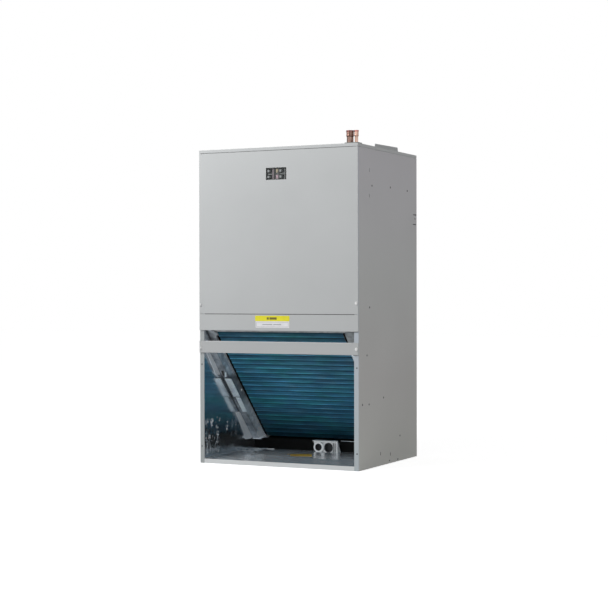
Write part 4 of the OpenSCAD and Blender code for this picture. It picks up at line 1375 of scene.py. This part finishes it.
# %% Details of the coil's frame
FLANGE_OUT, FLANGE_EDGE_OUT = 33.0, 31.6
FOOT_LIP_Y, PAN_LIP_Y = 308.0, 330.3
GAP_SHADE_END = 1.0
LEFT_GAP_SHADE = [(32.2, -30.0), (39.6, -30.0), (39.6, -3.0), (38.6, -1.6),
               (36.0, -1.1), (33.4, -1.6), (32.2, -3.0)]
RIGHT_GAP_SHADE = [(447.6, -30.0), (452.4, -30.0), (452.4, 2.2), (451.4, 3.2), (448.6, 3.2), (447.6, 2.2)]
NOTCH = [(16.4, 132.8), (25.0, 131.7), (19.0, 153.2), (13.6, 154.7)]
TAB = [(26.8, 139.8), (31.8, 138.2), (25.2, 158.2), (17.7, 160.6)]
FLANGE_EDGE = [(8.2, 70.0), (10.2, 70.0), (10.2, 128.0), (8.2, 128.0)]
PAN_LIP = [(303.5, 46.9), (497.0, 45.0), (497.0, 47.8), (303.5, 47.8)]
BRIGHT, DARK, PLATE = range(3)


def on_coil(x, along, out):
    """A point by its place across the coil, down its slant and out from its front."""
    down = Vector((0.0, math.sin(COIL_TILT), -math.cos(COIL_TILT)))
    across = Vector((x * MM - CABINET_W / 2, 0.0, 0.0))
    return COIL_TOP + across + down * (along * MM) + COIL_OUT * (out * MM)


def down_coil(u, v, h):
    return on_coil(u, h, v)


def out_of_coil(out):
    return lambda u, v, h: on_coil(u, v, out + h)


# These dark strips are painted shade in the gaps beside the fins.
bm = bmesh.new()
for outline in (LEFT_GAP_SHADE, RIGHT_GAP_SHADE):
    prism(bm, outline, down_coil, GAP_SHADE_END, fin_len / MM - GAP_SHADE_END)
publish("coil_gap_painted_shade", bm, [black_pan])

bm = bmesh.new()
prism(bm, NOTCH, out_of_coil(FLANGE_OUT), 0.0, 0.35, DARK)
prism(bm, TAB, out_of_coil(FLANGE_OUT), 0.0, 1.0, BRIGHT)
prism(bm, FLANGE_EDGE, out_of_coil(FLANGE_EDGE_OUT), 0.0, 1.4, PLATE)
prism(bm, rounded(12.0, 44.0, 44.4, 48.0, 1.0, 3), front_of(FOOT_LIP_Y), 0.0, 1.2, PLATE)
publish("end_plate_details", bm, [clip_zinc, hole_dark, end_plate_painted_zinc])

bm = bmesh.new()
prism(bm, PAN_LIP, front_of(PAN_LIP_Y), 0.0, 1.4)
publish("pan_lip", bm, [clip_zinc])

# %% [markdown]
# ## Seams and the rail's rolled edge
# Where two panels meet, the gap behind them is dark, so each seam carries a thin dark line of
# painted shadow. The sides also have four small slots near the floor, dark with painted shade.
# Both are flat prisms that lie on the sheet, which keeps the solids whole. The cross rail's top
# edge is rolled over: a slim bead catches the lamp as a bright line.

# %% Seams and the rail's rolled edge
SEAMS = (
    (18.0, 497.0, 435.7, 437.5, 0.0),
    (4.0, 504.0, 904.0, 905.0, 0.0),
    (491.0, 507.5, 387.4, 388.9, FLANGE_Y),
    (491.0, 507.5, 322.3, 323.4, FLANGE_Y),
)
SIDE_SLOTS = (
    (155.4, 158.8, 30.0, 39.5),
    (228.8, 232.2, 22.0, 32.0),
    (220.0, 227.0, 6.6, 10.4),
    (283.0, 290.0, 4.4, 8.4),
)
SEAM_UNDER = -0.4
BEAD_R, BEAD_IN, BEAD_SIDES = 2.6, 2.0, 12
BEAD_FROM, BEAD_TO = 22.0, 486.0


def on_right(y, z, h):
    return at(RIGHT_X + h, y, z)


def on_left(y, z, h):
    return at(-h, y, z)


def along_rail(y, z, x):
    return at(x, y, z)


# Seams and slots are dark prisms of painted shadow.
seam_dark = printed("seam_shadow", grey(0.055), 0.8)
bm = bmesh.new()
for *seam, face in SEAMS:
    prism(bm, rounded(*seam, 0.3, 2), front_of(face), SEAM_UNDER, 0.12)
for on_side in (on_right, on_left):
    for slot in SIDE_SLOTS:
        prism(bm, rounded(*slot, 0.6, 2), on_side, SEAM_UNDER, 0.1)
publish("panel_seams", bm, [seam_dark])

rail_lo, rail_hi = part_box("cross_rail")
bead_y = (rail_lo.y + CABINET_D / 2) / MM + BEAD_IN
bm = bmesh.new()
prism(bm, circle(bead_y, rail_hi.z / MM - BEAD_IN, BEAD_R, BEAD_SIDES), along_rail, BEAD_FROM, BEAD_TO)
publish("rail_bead", bm, [paint])
